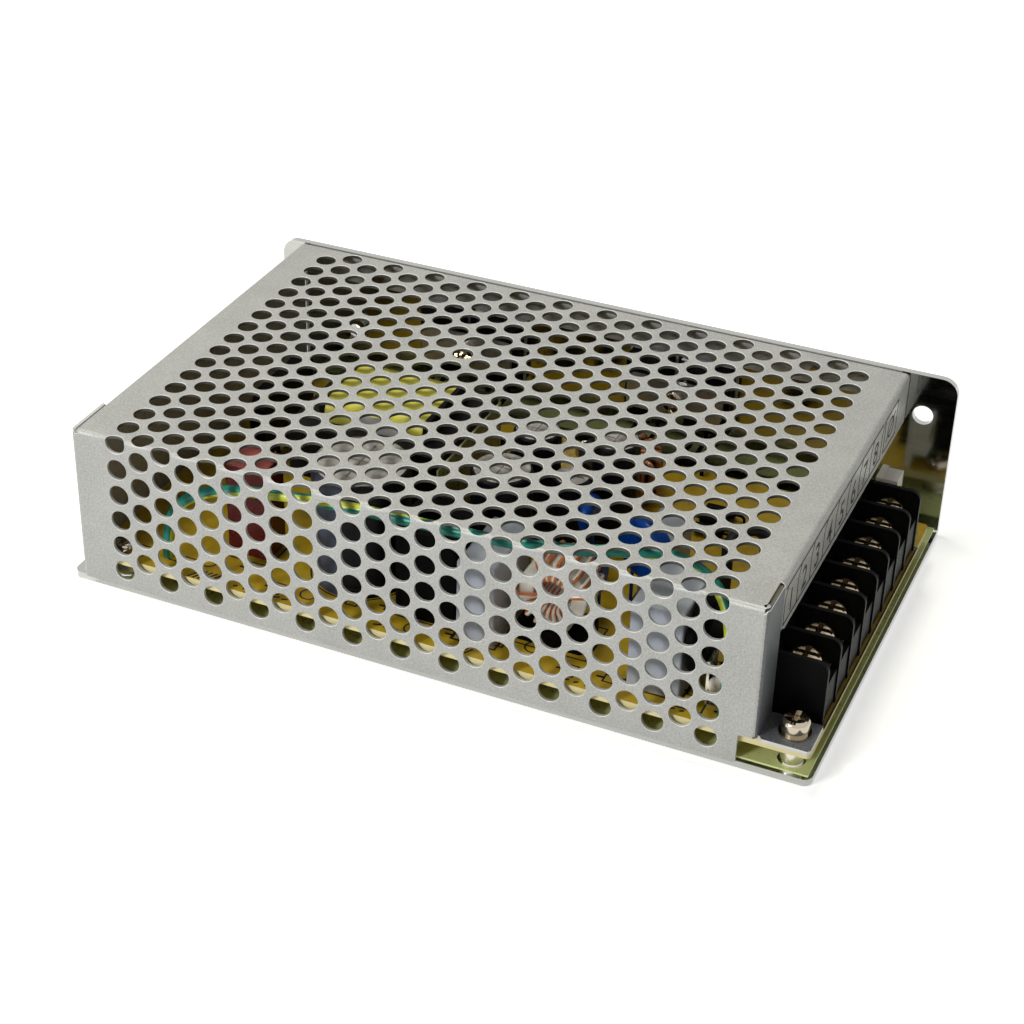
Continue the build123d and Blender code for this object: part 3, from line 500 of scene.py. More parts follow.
def plated_sheet():
    """Zinc-plated steel with a fine spangle, painted light on its cut edges (highlights on the rims and the
    side's hole walls, shade in the top's hole walls) and painted shade on the corner flange and the foot.
    """
    top_slack = 0.05
    end_margin = 2
    finish = Finish("plated_sheet", (0.42, 0.42, 0.41), rough=0.5, metal=0.3)
    tree = finish.tree
    grain = finish.group(SPECKLE, Scale=2600.0, Amount=2.2)
    spangle = finish.blend(grain.outputs["Fac"], (0.33, 0.33, 0.32), (0.51, 0.51, 0.495))
    # Painted shade: darker, bluer sheet colours for the corner flange's outer face and the foot
    painted_shade = finish.blend(grain.outputs["Fac"], (0.09, 0.095, 0.10), (0.20, 0.21, 0.225))
    x, y, z = finish.axes()
    sheet = finish.blend(painted_shade_area(finish, x, y, z), spangle, painted_shade)
    high = math_node(tree, "GREATER_THAN", z, (CASE_HEIGHT - SHEET - top_slack) * MM)
    inward = math_node(tree, "GREATER_THAN", x, (COVER_LEFT_X + end_margin) * MM)
    in_top = math_node(tree, "MULTIPLY", high, inward)
    # Painted light and shade on the hole walls: pale on the side, nearly black in the top
    wall_painted_light_and_shade = finish.blend(in_top, (0.60, 0.60, 0.58), (0.10, 0.10, 0.09))
    cut = tree.nodes.new("ShaderNodeAttribute")
    cut.attribute_name = "cut_edge"
    on_wall = math_node(tree, "GREATER_THAN", cut.outputs["Fac"], CUT_WALL / 2)
    on_rim = math_node(tree, "GREATER_THAN", cut.outputs["Fac"], (CUT_WALL + CUT_RIM) / 2)
    # Painted highlight: pale colour on the outer rims of the cut edges
    finish.paint(finish.blend(on_rim, finish.blend(on_wall, sheet, wall_painted_light_and_shade), (0.72, 0.72, 0.69)))
    finish.gloss_from(grain.outputs["Fac"], 0.44, 0.60)
    finish.bump(grain.outputs["Height"], 0.12, 0.00002)
    return finish.material


def drawn_aluminium():
    """Drawn aluminium sheet, nearly a mirror inside."""
    finish = Finish("drawn_aluminium", (0.55, 0.55, 0.53), rough=0.12, metal=1.0)
    lines = finish.group(DRAWN, Scale=2500.0, Amount=1.0)
    finish.paint(finish.blend(lines.outputs["Fac"], (0.40, 0.40, 0.38), (0.53, 0.53, 0.51)))
    finish.gloss_from(lines.outputs["Fac"], 0.06, 0.16)
    finish.bump(lines.outputs["Fac"], 0.03, 0.00001)
    return finish.material


def bright_plating(name, colour, rough):
    """Nickel or tin plating with faint handling marks."""
    return speckled(name, colour, rough, contrast=0.08, scale=900.0, metal=1.0, bump=0.06).material


def screw_plating():
    """Nickel of the terminal screws, with painted shade on the floor of the cross recess."""
    finish = Finish("screw_plating", (0.46, 0.38, 0.26), rough=0.14, metal=1.0)
    tree = finish.tree
    z = finish.axes()[2]
    level = math_node(tree, "GREATER_THAN", finish.face_axes()[2], 0.9)
    under = math_node(tree, "LESS_THAN", z, RECESS_FLOOR_Z * MM)
    over = math_node(tree, "GREATER_THAN", z, RECESS_LOW_Z * MM)
    # Painted shade: the level faces between these heights, the recess floor, are nearly black
    floor = math_node(tree, "MULTIPLY", math_node(tree, "MULTIPLY", under, over), level)
    finish.paint(finish.blend(floor, (0.46, 0.38, 0.26), (0.05, 0.035, 0.02)))
    grained_gloss(finish, 900.0, 0.12, 0.24)
    return finish.material


# Finishes of the board and its parts

def board_lacquer():
    """Amber board under clear lacquer, cream at its cut edges."""
    finish = Finish("board_lacquer", (0.7, 0.48, 0.04), rough=0.35)
    grain = finish.group(SPECKLE, Scale=300.0, Amount=1.2)
    top = finish.blend(grain.outputs["Fac"], (0.38, 0.235, 0.010), (0.68, 0.47, 0.032))
    up = math_node(finish.tree, "ABSOLUTE", finish.face_axes()[2])
    edge = math_node(finish.tree, "LESS_THAN", up, 0.5)
    finish.paint(finish.blend(edge, top, (0.74, 0.66, 0.36)))
    finish.gloss_from(edge, 0.32, 0.7)
    finish.set("Specular IOR Level", 0.25)
    return finish.material


def clear_film(name, colour, see_through):
    """Yellow-green film, a little see-through."""
    finish = speckled(name, colour, rough=0.3, contrast=0.06, scale=700.0, bump=0.05)
    finish.set("Transmission Weight", see_through)
    return finish.material


def side_stripe(finish, x, y, centre, side):
    """1 on one side of a round can, about a direction in degrees from its centre."""
    tree = finish.tree
    from_centre_x = math_node(tree, "SUBTRACT", x, centre[0] * MM)
    from_centre_y = math_node(tree, "SUBTRACT", y, centre[1] * MM)
    angle = math_node(tree, "ARCTAN2", from_centre_y, from_centre_x)
    away = math_node(tree, "ABSOLUTE", math_node(tree, "SUBTRACT", angle, radians(side)))
    return math_node(tree, "LESS_THAN", away, CAN_STRIPE_HALF_ANGLE)


def can_finish(name, top, stripe=None, centre=(0, 0), stripe_side=0):
    """Capacitor: dark shrink sleeve, bare can inside its rolled rim, and a stripe down one side."""
    sleeve = (0.006, 0.006, 0.008)
    facing_up = 0.96
    upright = 0.3
    bare_metal = 0.6
    finish = Finish(name, sleeve, rough=0.32)
    tree = finish.tree
    x, y, z = finish.axes()
    sideways = sleeve
    if stripe:
        sideways = finish.blend(side_stripe(finish, x, y, centre, stripe_side), sleeve, stripe)
    up = finish.face_axes()[2]
    level = math_node(tree, "GREATER_THAN", up, facing_up)
    high = math_node(tree, "GREATER_THAN", z, (top - VENT_DEPTH) * MM)
    in_vent = math_node(tree, "MULTIPLY", high, math_node(tree, "LESS_THAN", up, upright))
    bare = math_node(tree, "MAXIMUM", level, in_vent)
    mottle = finish.group(SPECKLE, Scale=700.0, Amount=2.4)
    metal = finish.blend(mottle.outputs["Fac"], (0.36, 0.34, 0.31), (0.66, 0.62, 0.57))
    finish.paint(finish.blend(bare, sideways, metal))
    tree.links.new(math_node(tree, "MULTIPLY", bare, bare_metal), finish.shader.inputs["Metallic"])
    grained_gloss(finish, 1200.0, 0.3, 0.45)
    finish.set("Specular IOR Level", 0.15)
    return finish.material


def striped_insulation():
    """Green wire insulation with a yellow stripe along it; U runs round the wire and V along it."""
    whole_turns = 10
    finish = Finish("striped_insulation", (0.0, 0.20, 0.15), rough=0.35)
    tree = finish.tree
    wire_map = tree.nodes.new("ShaderNodeUVMap")
    wire_map.uv_map = "around_along"
    around, along, _ = finish.parts_of(wire_map.outputs[0])
    twist = math_node(tree, "MULTIPLY_ADD", along, -STRIPE_TWIST, around)
    turn = math_node(tree, "FRACT", math_node(tree, "ADD", twist, whole_turns + STRIPE_START))
    stripe = math_node(tree, "LESS_THAN", turn, STRIPE_SHARE)
    finish.paint(finish.blend(stripe, (0.0, 0.21, 0.16), (0.60, 0.66, 0.05)))
    grained_gloss(finish, 1500.0, 0.28, 0.42)
    return finish.material


def two_strand_winding():
    """Winding with two strands side by side: half of each turn about the core's axis in each colour."""
    orange = (0.62, 0.17, 0.03)
    white = (0.85, 0.81, 0.72)
    whole_turns = 40
    finish = Finish("orange_and_white_wire", orange, rough=0.28)
    tree = finish.tree
    x, y, z = finish.axes()
    up = math_node(tree, "SUBTRACT", z, CHOKE_CENTRE[1] * MM)
    across = math_node(tree, "SUBTRACT", x, CHOKE_CENTRE[0] * MM)
    angle = math_node(tree, "ARCTAN2", up, across)
    first = whole_turns - CHOKE_FIRST_TURN / CHOKE_TURN_STEP
    turns = math_node(tree, "MULTIPLY_ADD", angle, 1 / radians(CHOKE_TURN_STEP), first)
    half = math_node(tree, "LESS_THAN", math_node(tree, "FRACT", turns), 0.5)
    finish.paint(finish.blend(half, orange, white))
    grained_gloss(finish, 1800.0, 0.22, 0.36)
    finish.set("Coat Weight", 0.4)
    return finish.material


def red_coat():
    """Dipped film capacitor, dark red, with a painted highlight that makes its top paler."""
    side = (0.12, 0.006, 0.006)
    finish = Finish("red_coat", side, rough=0.25)
    # Painted highlight: faces turned up get a paler red
    up = math_node(finish.tree, "GREATER_THAN", finish.face_axes()[2], 0.7)
    finish.paint(finish.blend(up, side, (0.36, 0.06, 0.045)))
    grained_gloss(finish, 700.0, 0.22, 0.36)
    finish.set("Specular IOR Level", 0.3)
    return finish.material


def lamp_glass():
    """Green lens that lets some light through."""
    finish = speckled("lamp_glass", (0.08, 0.45, 0.10), rough=0.2, contrast=0.05, scale=800.0, bump=0.02)
    finish.set("Transmission Weight", 0.5)
    return finish.material


def fuse_glass():
    """Clear glass tube."""
    finish = Finish("fuse_glass", (0.92, 0.95, 0.93), rough=0.05)
    finish.set("Transmission Weight", 0.9)
    grained_gloss(finish, 600.0, 0.02, 0.1, amount=0.4)
    return finish.material


def black_moulding():
    """Dull black moulded plastic."""
    return speckled("black_moulding", (0.0025, 0.0025, 0.0027), rough=0.42, contrast=0.25, scale=1400.0,
                    bump=0.1, specular=0.04).material


def ground_ferrite():
    """Ground ferrite, nearly black."""
    return speckled("ground_ferrite", (0.012, 0.011, 0.010), rough=0.55, contrast=0.3, scale=1800.0,
                    bump=0.3, specular=0.1).material


def grey_moulding():
    """Grey box of the filter capacitors and the relay."""
    return speckled("grey_moulding", (0.42, 0.45, 0.52), rough=0.4, contrast=0.08, scale=900.0,
                    bump=0.1).material


def cream_moulding():
    """Cream moulded plastic and coated core."""
    return speckled("cream_moulding", (0.82, 0.79, 0.70), rough=0.38, contrast=0.05, scale=900.0,
                    bump=0.1).material


def yellow_tape():
    """Yellow tape round the transformer's winding, slightly wavy."""
    return speckled("yellow_tape", (0.98, 0.90, 0.14), rough=0.35, contrast=0.06, scale=500.0,
                    bump=0.2, distance=0.00005, specular=0.3).material


def copper_wire():
    """Lacquered copper wire."""
    return speckled("copper_wire", (0.42, 0.16, 0.05), rough=0.25, contrast=0.2, scale=300.0, metal=0.4,
                    bump=0.1, coat=0.5).material


def blue_coat():
    """Blue dip of the varistor and the disc capacitors."""
    return speckled("blue_coat", (0.0, 0.06, 0.36), rough=0.25, contrast=0.1, scale=600.0,
                    bump=0.15, specular=0.2).material


def black_sleeve():
    """Black shrink sleeve of the link."""
    return speckled("black_sleeve", (0.01, 0.01, 0.01), rough=0.5, contrast=0.2, scale=1500.0,
                    bump=0.2, specular=0.3).material


def pad_rubber():
    """Pale grey rubber of the power devices' pads."""
    return speckled("pad_rubber", (0.60, 0.63, 0.66), rough=0.6, contrast=0.08, scale=900.0,
                    bump=0.2).material


def bar_steel():
    """Steel of the spring bars."""
    return speckled("bar_steel", (0.50, 0.50, 0.50), rough=0.35, contrast=0.1, scale=1200.0, metal=0.9,
                    bump=0.1).material


def rotor_brass():
    """Brass of the trimmer's rotor."""
    return speckled("rotor_brass", (0.62, 0.50, 0.26), rough=0.3, contrast=0.08, scale=1200.0, metal=1.0,
                    bump=0.1).material


def printed_ink():
    """Black ink of the label and of the board's outlines."""
    return speckled("printed_ink", (0.025, 0.025, 0.025), rough=0.6, contrast=0.2, scale=2000.0,
                    bump=0.05, specular=0.2).material


def white_paper():
    """Paper of the label on the winding."""
    return speckled("white_paper", (0.78, 0.77, 0.73), rough=0.7, contrast=0.04, scale=1500.0,
                    bump=0.1).material


def label_film():
    """Pale film of the label on the lip."""
    return speckled("label_film", (0.60, 0.60, 0.57), rough=0.3, contrast=0.06, scale=1800.0, metal=0.1,
                    bump=0.05).material


# Pieces from arrays

def add_piece(name, points, faces, material, body="case", keep_angle=32.0, replaces=(), slot=None):
    """Mesh piece in millimetres that rides on a body."""
    mesh = bpy.data.meshes.new(name)
    mesh.from_pydata((np.asarray(points) * MM).tolist(), [], faces)
    shaped = bmesh.new()
    shaped.from_mesh(mesh)
    bmesh.ops.recalc_face_normals(shaped, faces=shaped.faces)
    shaped.to_mesh(mesh)
    shaped.free()
    mesh.polygons.foreach_set("use_smooth", [True] * len(mesh.polygons))
    mesh.set_sharp_from_angle(angle=radians(keep_angle))
    mesh.materials.append(material)
    piece = bpy.data.objects.new(name, mesh)
    bpy.context.scene.collection.objects.link(piece)
    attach(piece, body)
    if replaces:
        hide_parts(*replaces)
    return piece


def join_shells(shells):
    """One list of points and faces from several."""
    points = []
    faces = []
    offset = 0
    for shell_points, shell_faces in shells:
        points.append(shell_points)
        faces += [[index + offset for index in face] for face in shell_faces]
        offset += len(shell_points)
    return np.concatenate(points), faces


def ring_points(centre_u, centre_v, radius, sides):
    """Closed ring of points about a centre, or about each of many centres."""
    turn = np.linspace(0, 2 * np.pi, sides, endpoint=False)
    u = np.asarray(centre_u)[..., None] + radius * np.cos(turn)
    v = np.asarray(centre_v)[..., None] + radius * np.sin(turn)
    return np.stack([u, v], -1)


def fold(start, heading, runs, turn, bend_lengths):
    """Folded line: distance along it and depth under it give two coordinates.

    The line starts at a point with a heading in degrees, and each straight run but the last is
    followed by a bend of 90 degrees to the side that turn gives (1 left, -1 right). On a straight run
    the place is start + distance * heading + depth * inward normal, and on a bend it lies on a circle
    of radius BEND - depth about the bend's centre.
    """
    starts = [0.0]
    places = [np.array(start, float)]
    angles = [radians(heading)]
    lengths = []
    curved = []
    for number, run in enumerate(runs):
        lengths.append(run)
        curved.append(False)
        step = np.array([np.cos(angles[-1]), np.sin(angles[-1])])
        places.append(places[-1] + run * step)
        angles.append(angles[-1])
        starts.append(starts[-1] + run)
        if number < len(runs) - 1:
            lengths.append(bend_lengths[number])
            curved.append(True)
            inward = turn * np.array([-step[1], step[0]])
            places.append(places[-1] + BEND * (step + inward))
            angles.append(angles[-1] + turn * np.pi / 2)
            starts.append(starts[-1] + bend_lengths[number])
    starts = np.array(starts[:-1])
    places = np.array(places[:-1])
    angles = np.array(angles[:-1])
    lengths = np.array(lengths)
    curved = np.array(curved)

    def place(along, depth):
        index = np.clip(np.searchsorted(starts, along, side="right") - 1, 0, len(lengths) - 1)
        ahead = np.stack([np.cos(angles[index]), np.sin(angles[index])], 1)
        inward = turn * np.stack([-ahead[:, 1], ahead[:, 0]], 1)
        local = (along - starts[index])[:, None]
        straight = places[index] + local * ahead + depth[:, None] * inward
        swing = local / lengths[index][:, None] * (np.pi / 2)
        centre = places[index] + BEND * inward
        bent = centre + (BEND - depth[:, None]) * (np.sin(swing) * ahead - np.cos(swing) * inward)
        return np.where(curved[index][:, None], bent, straight)

    shares = np.linspace(0, 1, BEND_STEPS + 1)
    bends = [(first, length) for first, length, bent in zip(starts, lengths, curved) if bent]
    edges = [first + share * length for first, length in bends for share in shares]
    return place, edges


def inside_loop(points, loop):
    """True where a point lies inside a closed loop, by counting the edges to its right."""
    start, end = loop, np.roll(loop, -1, axis=0)
    x, y = points[:, :1], points[:, 1:]
    crosses = (start[:, 1] > y) != (end[:, 1] > y)
    tiny = 1e-9
    rise = np.where(end[:, 1] == start[:, 1], tiny, end[:, 1] - start[:, 1])
    at = start[:, 0] + (y - start[:, 1]) / rise * (end[:, 0] - start[:, 0])
    return ((crosses & (x < at)).sum(1) % 2) == 1


def inside_rings(points, rings):
    """True where a point lies inside one of many round rings."""
    just_inside = 0.995
    inside = np.zeros(len(points), bool)
    for ring in rings:
        centre = ring.mean(0)
        reach = np.linalg.norm(ring[0] - centre) * just_inside
        inside |= np.linalg.norm(points - centre, axis=1) < reach
    return inside


def fill_blank(outline, holes, bend_edges):
    """Points and triangles of a flat blank between its outline, its hole rings and its bend lines."""
    loops = [outline] + list(holes)
    points = np.concatenate(loops)
    constraints = []
    offset = 0
    for loop in loops:
        index = np.arange(len(loop)) + offset
        constraints += np.stack([index, np.roll(index, -1)], 1).tolist()
        offset += len(loop)
    low, high = outline.min(0), outline.max(0)
    for v in bend_edges:
        if low[1] < v < high[1]:
            points = np.concatenate([points, [[low[0] - 1, v], [high[0] + 1, v]]])
            constraints.append([offset, offset + 1])
            offset += 2
    filled = delaunay_2d_cdt([Vector(point) for point in points], constraints, [], 0, MERGE_DISTANCE)
    flat = np.array([tuple(point) for point in filled[0]])
    triangles = np.array(filled[2])
    middle = flat[triangles].mean(1)
    triangles = triangles[inside_loop(middle, outline) & ~inside_rings(middle, holes)]
    used, triangles = np.unique(triangles, return_inverse=True)
    return flat[used], triangles.reshape(-1, 3)


def free_edges(triangles, count):
    """Edges that only one triangle has, each in that triangle's direction."""
    edges = np.concatenate([triangles[:, [0, 1]], triangles[:, [1, 2]], triangles[:, [2, 0]]])
    key = edges[:, 0] * count + edges[:, 1]
    back = edges[:, 1] * count + edges[:, 0]
    return edges[~np.isin(key, back)]


def rim_outward(flat, free):
    """Points on the free edges, and at each the mean direction away from the sheet."""
    run = flat[free[:, 1]] - flat[free[:, 0]]
    outward = np.stack([run[:, 1], -run[:, 0]], 1)
    outward /= np.linalg.norm(outward, axis=1)[:, None]
    push = np.zeros_like(flat)
    np.add.at(push, free[:, 0], outward)
    np.add.at(push, free[:, 1], outward)
    rim = np.unique(free)
    return rim, push[rim] / np.linalg.norm(push[rim], axis=1)[:, None]


def sheet_shell(outline, holes, place, bend_edges, to_space):
    """Closed shell of a folded sheet from its flat blank.

    The blank is triangulated between its outline, its hole rings and its bend lines. Each point
    becomes one on the outer face and one on the inner face, and along every free edge a wall with a
    small chamfer at each side joins the two faces.
    """
    flat, triangles = fill_blank(np.asarray(outline, float), holes, bend_edges)
    count = len(flat)
    free = free_edges(triangles, count)
    rim, outward = rim_outward(flat, free)
    number = np.full(count, -1)
    number[rim] = np.arange(len(rim))
    widened = flat[rim] + RIM * outward
    layers = [
        (flat, np.zeros(count)),
        (flat, np.full(count, SHEET)),
        (widened, np.full(len(rim), RIM)),
        (widened, np.full(len(rim), SHEET - RIM)),
    ]
    solid = [to_space(uv[:, 0], place(uv[:, 1], depth)) for uv, depth in layers]
    first, second = free[:, 0], free[:, 1]
    top = 2 * count
    low = 2 * count + len(rim)
    faces = triangles.tolist()
    faces += (triangles[:, ::-1] + count).tolist()
    quads = [
        (second, first, number[first] + top, number[second] + top),
        (number[second] + top, number[first] + top, number[first] + low, number[second] + low),
        (number[second] + low, number[first] + low, first + count, second + count),
    ]
    for quad in quads:
        faces += np.stack(quad, 1).tolist()
    return np.concatenate(solid), faces


def cut_marks(faces):
    """Rim mark on a shell's outer chamfer, wall mark on its other cut faces, 0 on the sheet's two faces."""
    walls = sum(len(face) == 4 for face in faces)
    rims = walls // 3
    return [0.0] * (len(faces) - walls) + [CUT_RIM] * rims + [CUT_WALL] * (walls - rims)


def over_x(u, pair):
    """Width runs along X, the folded line lies in Y and Z."""
    return np.stack([u, pair[:, 0], pair[:, 1]], 1)


def over_y(u, pair):
    """Width runs along Y, the folded line lies in X and Z."""
    return np.stack([pair[:, 0], u, pair[:, 1]], 1)


def over_z(u, pair):
    """Width runs along Z, the folded line lies in X and Y."""
    return np.stack([pair[:, 0], pair[:, 1], u], 1)


# Folded and perforated cover

def along_blank(y):
    """Distance along the cover's blank, from the far flange's free edge, of a place on the top."""
    return TOP_START + TOP_FAR_Y - y


def relief_arc():
    """Round relief at the slit's end, open towards the slit."""
    open_half = np.degrees(np.arcsin(SLIT / 2 / RELIEF_RADIUS))
    turn = np.radians(np.linspace(90 + open_half, 450 - open_half, RELIEF_STEPS + 1))
    u = SLIT_X + SLIT / 2 + RELIEF_RADIUS * np.cos(turn)
    v = along_blank(NEAR_FLAT_Y + RELIEF_RADIUS / 2 + RELIEF_RADIUS * np.sin(turn))
    return np.stack([u, v], 1).tolist()


def notch_arc(notch_v):
    """Rounded inner corner of the notch in the side's lower edge."""
    turn = np.radians(np.linspace(0, 90, NOTCH_STEPS + 1))
    u = NOTCH_X + NOTCH_ROUND * (1 - np.sin(turn))
    v = notch_v + NOTCH_ROUND * (1 - np.cos(turn))
    return np.stack([u, v], 1).tolist()


def vent_rings():
    """Rings of the vent holes on the blank.

    Columns stand pitch * sqrt(3) / 2 apart, holes in a column stand a pitch apart, and every other
    column starts half a pitch further on.
    """
    column = np.arange(COLUMNS)[:, None]
    step = (column + 1) % 2 + 2 * np.arange(HOLES_PER_COLUMN)[None]
    u = np.broadcast_to(FIRST_COLUMN_X + column * HOLE_PITCH * np.sqrt(3) / 2, step.shape).ravel()
    v = along_blank(FAR_ROW_Y - step * HOLE_PITCH / 2).ravel()
    return ring_points(u, v, HOLE_RADIUS + RIM, HOLE_SIDES)


def cover_panel():
    """Far flange, top and near side in one folded strip with all the vent holes."""
    runs = (FLANGE_DEPTH - BEND, TOP_FAR_Y - NEAR_FLAT_Y, CASE_HEIGHT - BEND - SIDE_LIFT)
    start = (WALL_INNER_Y, CASE_HEIGHT - FLANGE_DEPTH)
    place, edges = fold(start, 90, runs, 1, (QUARTER, BEND_RUN))
    bend_start = TOP_START + runs[1]
    side_start = bend_start + BEND_RUN
    bottom = side_start + runs[2]
    notch_v = side_start + CASE_HEIGHT - BEND - NOTCH_Z
    lip_v = along_blank(LIP_START_Y)
    flange_left = LEFT_FLAT_X + FLANGE_INSET
    flange_right = RIGHT_FLAT_X - FLANGE_INSET
    flange_end = TOP_START - FLANGE_STEP
    side_left = LEFT_FLAT_X - SHEET
    outline = [
        (flange_left, 0), (flange_right, 0), (flange_right, flange_end), (RIGHT_FLAT_X, flange_end),
        (RIGHT_FLAT_X, lip_v), (SLIT_X, lip_v),
    ]
    outline += relief_arc()
    outline += [
        (SLIT_X + SLIT, bend_start + FLANGE_STEP), (RIGHT_FLAT_X, bend_start + RELIEF_RADIUS),
        (RIGHT_FLAT_X, notch_v - FLANGE_STEP), (RIGHT_FLAT_X - EDGE_SLANT, notch_v),
    ]
    outline += notch_arc(notch_v)
    outline += [
        (NOTCH_X, bottom), (side_left, bottom), (side_left, side_start),
        (LEFT_FLAT_X, side_start - EDGE_SLANT), (LEFT_FLAT_X, flange_end), (flange_left, flange_end),
    ]
    return sheet_shell(outline, vent_rings(), place, edges, over_x)


def plain_strip(start, heading, run, turn, to_space, outline, holes=()):
    """Strip that leaves the sheet in one bend and goes on straight."""
    place, edges = fold(start, heading, (0.0, run), turn, (QUARTER,))
    return sheet_shell(outline, holes, place, edges, to_space)


def end_wall():
    """Wall at the left end, with a corner left free for the near side."""
    run = CASE_HEIGHT - BEND - END_LIFT
    bottom = QUARTER + run
    corner = bottom - (SIDE_LIFT - END_LIFT)
    outline = [
        (NEAR_FLAT_Y, 0), (INNER_FAR_Y, 0), (INNER_FAR_Y, bottom),
        (NEAR_FLAT_Y + END_CORNER, bottom), (NEAR_FLAT_Y + END_CORNER, corner), (NEAR_FLAT_Y, corner),
    ]
    return plain_strip((LEFT_FLAT_X, CASE_HEIGHT), 180, run, 1, over_y, outline)


def wrap_flange():
    """Flange of the near side that wraps round the left end."""
    end = QUARTER + WRAP_RUN
    outline = [(SIDE_LIFT, 0), *WRAP_CORNER, (WRAP_TOP_Z, end), (SIDE_LIFT, end)]
    start = (COVER_LEFT_X - SHEET + BEND, NEAR_Y)
    return plain_strip(start, 180, WRAP_RUN, -1, over_z, outline)


def terminal_lip():
    """Lip over the terminals, bevelled at its near lower corner."""
    run = LIP_HEIGHT - BEND
    end = QUARTER + run
    outline = [
        (LIP_START_Y, 0), (INNER_FAR_Y, 0), (INNER_FAR_Y, end),
        (LIP_START_Y + LIP_BEVEL, end), (LIP_START_Y, end - LIP_BEVEL),
    ]
    return plain_strip((RIGHT_FLAT_X, CASE_HEIGHT), 0, run, -1, over_y, outline)


def corner_flange():
    """Flange of the near side that turns round the terminal end, down to the foot."""
    run = CORNER_FLANGE_Y - NEAR_FLAT_Y
    end = QUARTER + run
    outline = [
        (NOTCH_Z, 0), *CORNER_FLANGE_CORNER, (CORNER_FLANGE_TOP_Z, QUARTER), (CORNER_FLANGE_TOP_Z, end),
        (FOOT_BEND_Z, end), (FOOT_BEND_Z, QUARTER + NOTCH_SLANT), (NOTCH_Z, QUARTER - NOTCH_SLANT),
    ]
    return plain_strip((RIGHT_FLAT_X, NEAR_Y), 0, run, 1, over_z, outline)


def cover_foot():
    """Foot that turns out from the corner flange onto the board, with its screw hole."""
    flange_x = COVER_RIGHT_X - SHEET
    run = BOARD_RIGHT_X - flange_x - BEND
    end = QUARTER + run
    near_y = NEAR_Y + FOOT_INSET
    outline = [
        (NEAR_FLAT_Y, 0), (CORNER_FLANGE_Y, 0), (CORNER_FLANGE_Y, end - FOOT_CHAMFER),
        (CORNER_FLANGE_Y - FOOT_CHAMFER, end), (near_y + FOOT_CHAMFER, end), (near_y, end - FOOT_CHAMFER),
        (near_y, QUARTER + RELIEF_RADIUS), (NEAR_FLAT_Y, QUARTER + EDGE_SLANT),
    ]
    screw_v = QUARTER + FOOT_SCREW_X - flange_x - BEND
    hole = ring_points(FOOT_SCREW_Y, screw_v, FOOT_HOLE_RADIUS + RIM, HOLE_SIDES)
    return plain_strip((flange_x, FOOT_BEND_Z), 270, run, 1, over_y, outline, [hole])


def corner_cap(centre, signs):
    """Rounded corner where two bends meet: an eighth of a ball, doubled inwards and closed.

    A point lies at centre + radius * (sin tilt * cos turn, sin tilt * sin turn, cos tilt).
    """
    side = BEND_STEPS + 1
    count = side * side
    angle = np.linspace(0, np.pi / 2, side)
    tilt, turn = np.meshgrid(angle, angle, indexing="ij")
    shape = np.stack([np.sin(tilt) * np.cos(turn), np.sin(tilt) * np.sin(turn), np.cos(tilt)], -1)
    shape = shape.reshape(-1, 3)
    outer = np.array(centre) + BEND * shape * signs
    inner = np.array(centre) + (BEND - SHEET) * shape * signs
    grid = np.arange(count).reshape(side, side)
    cells = np.stack([grid[:-1, :-1], grid[1:, :-1], grid[1:, 1:], grid[:-1, 1:]], -1).reshape(-1, 4)
    rim = np.concatenate([grid[0, :-1], grid[:-1, -1], grid[-1, :0:-1], grid[:0:-1, 0]])
    after = np.roll(rim, -1)
    walls = np.stack([rim, after, after + count, rim + count], 1)
    faces = cells.tolist() + (cells[:, ::-1] + count).tolist() + walls.tolist()
    return np.concatenate([outer, inner]), faces


def build_cover(material):
    """The whole perforated cover as a single piece in place of its solid."""
    shells = [cover_panel(), end_wall(), wrap_flange(), terminal_lip(), corner_flange(), cover_foot()]
    cap = corner_cap((LEFT_FLAT_X, NEAR_FLAT_Y, CASE_HEIGHT - BEND), (-1, -1, 1))
    points, faces = join_shells(shells + [cap])
    cuts = [value for _, shell_faces in shells for value in cut_marks(shell_faces)]
    cuts += [0.0] * (len(faces) - len(cuts))
    piece = add_piece("perforated_cover", points, faces, material, replaces=("cover",), slot="cover_sheet")
    marks = piece.data.attributes.new("cut_edge", "FLOAT", "FACE")
    marks.data.foreach_set("value", np.array(cuts, float))


# Lines and plates of the label and the print

def thin_plate(y0, y1, z0, z1, x0, x1):
    """Corners and faces of a box."""
    corners = np.array([(x, y, z) for x in (x0, x1) for y in (y0, y1) for z in (z0, z1)], float)
    faces = [(0, 1, 3, 2), (4, 6, 7, 5), (0, 4, 5, 1), (2, 3, 7, 6), (0, 2, 6, 4), (1, 5, 7, 3)]
    return corners, [list(face) for face in faces]


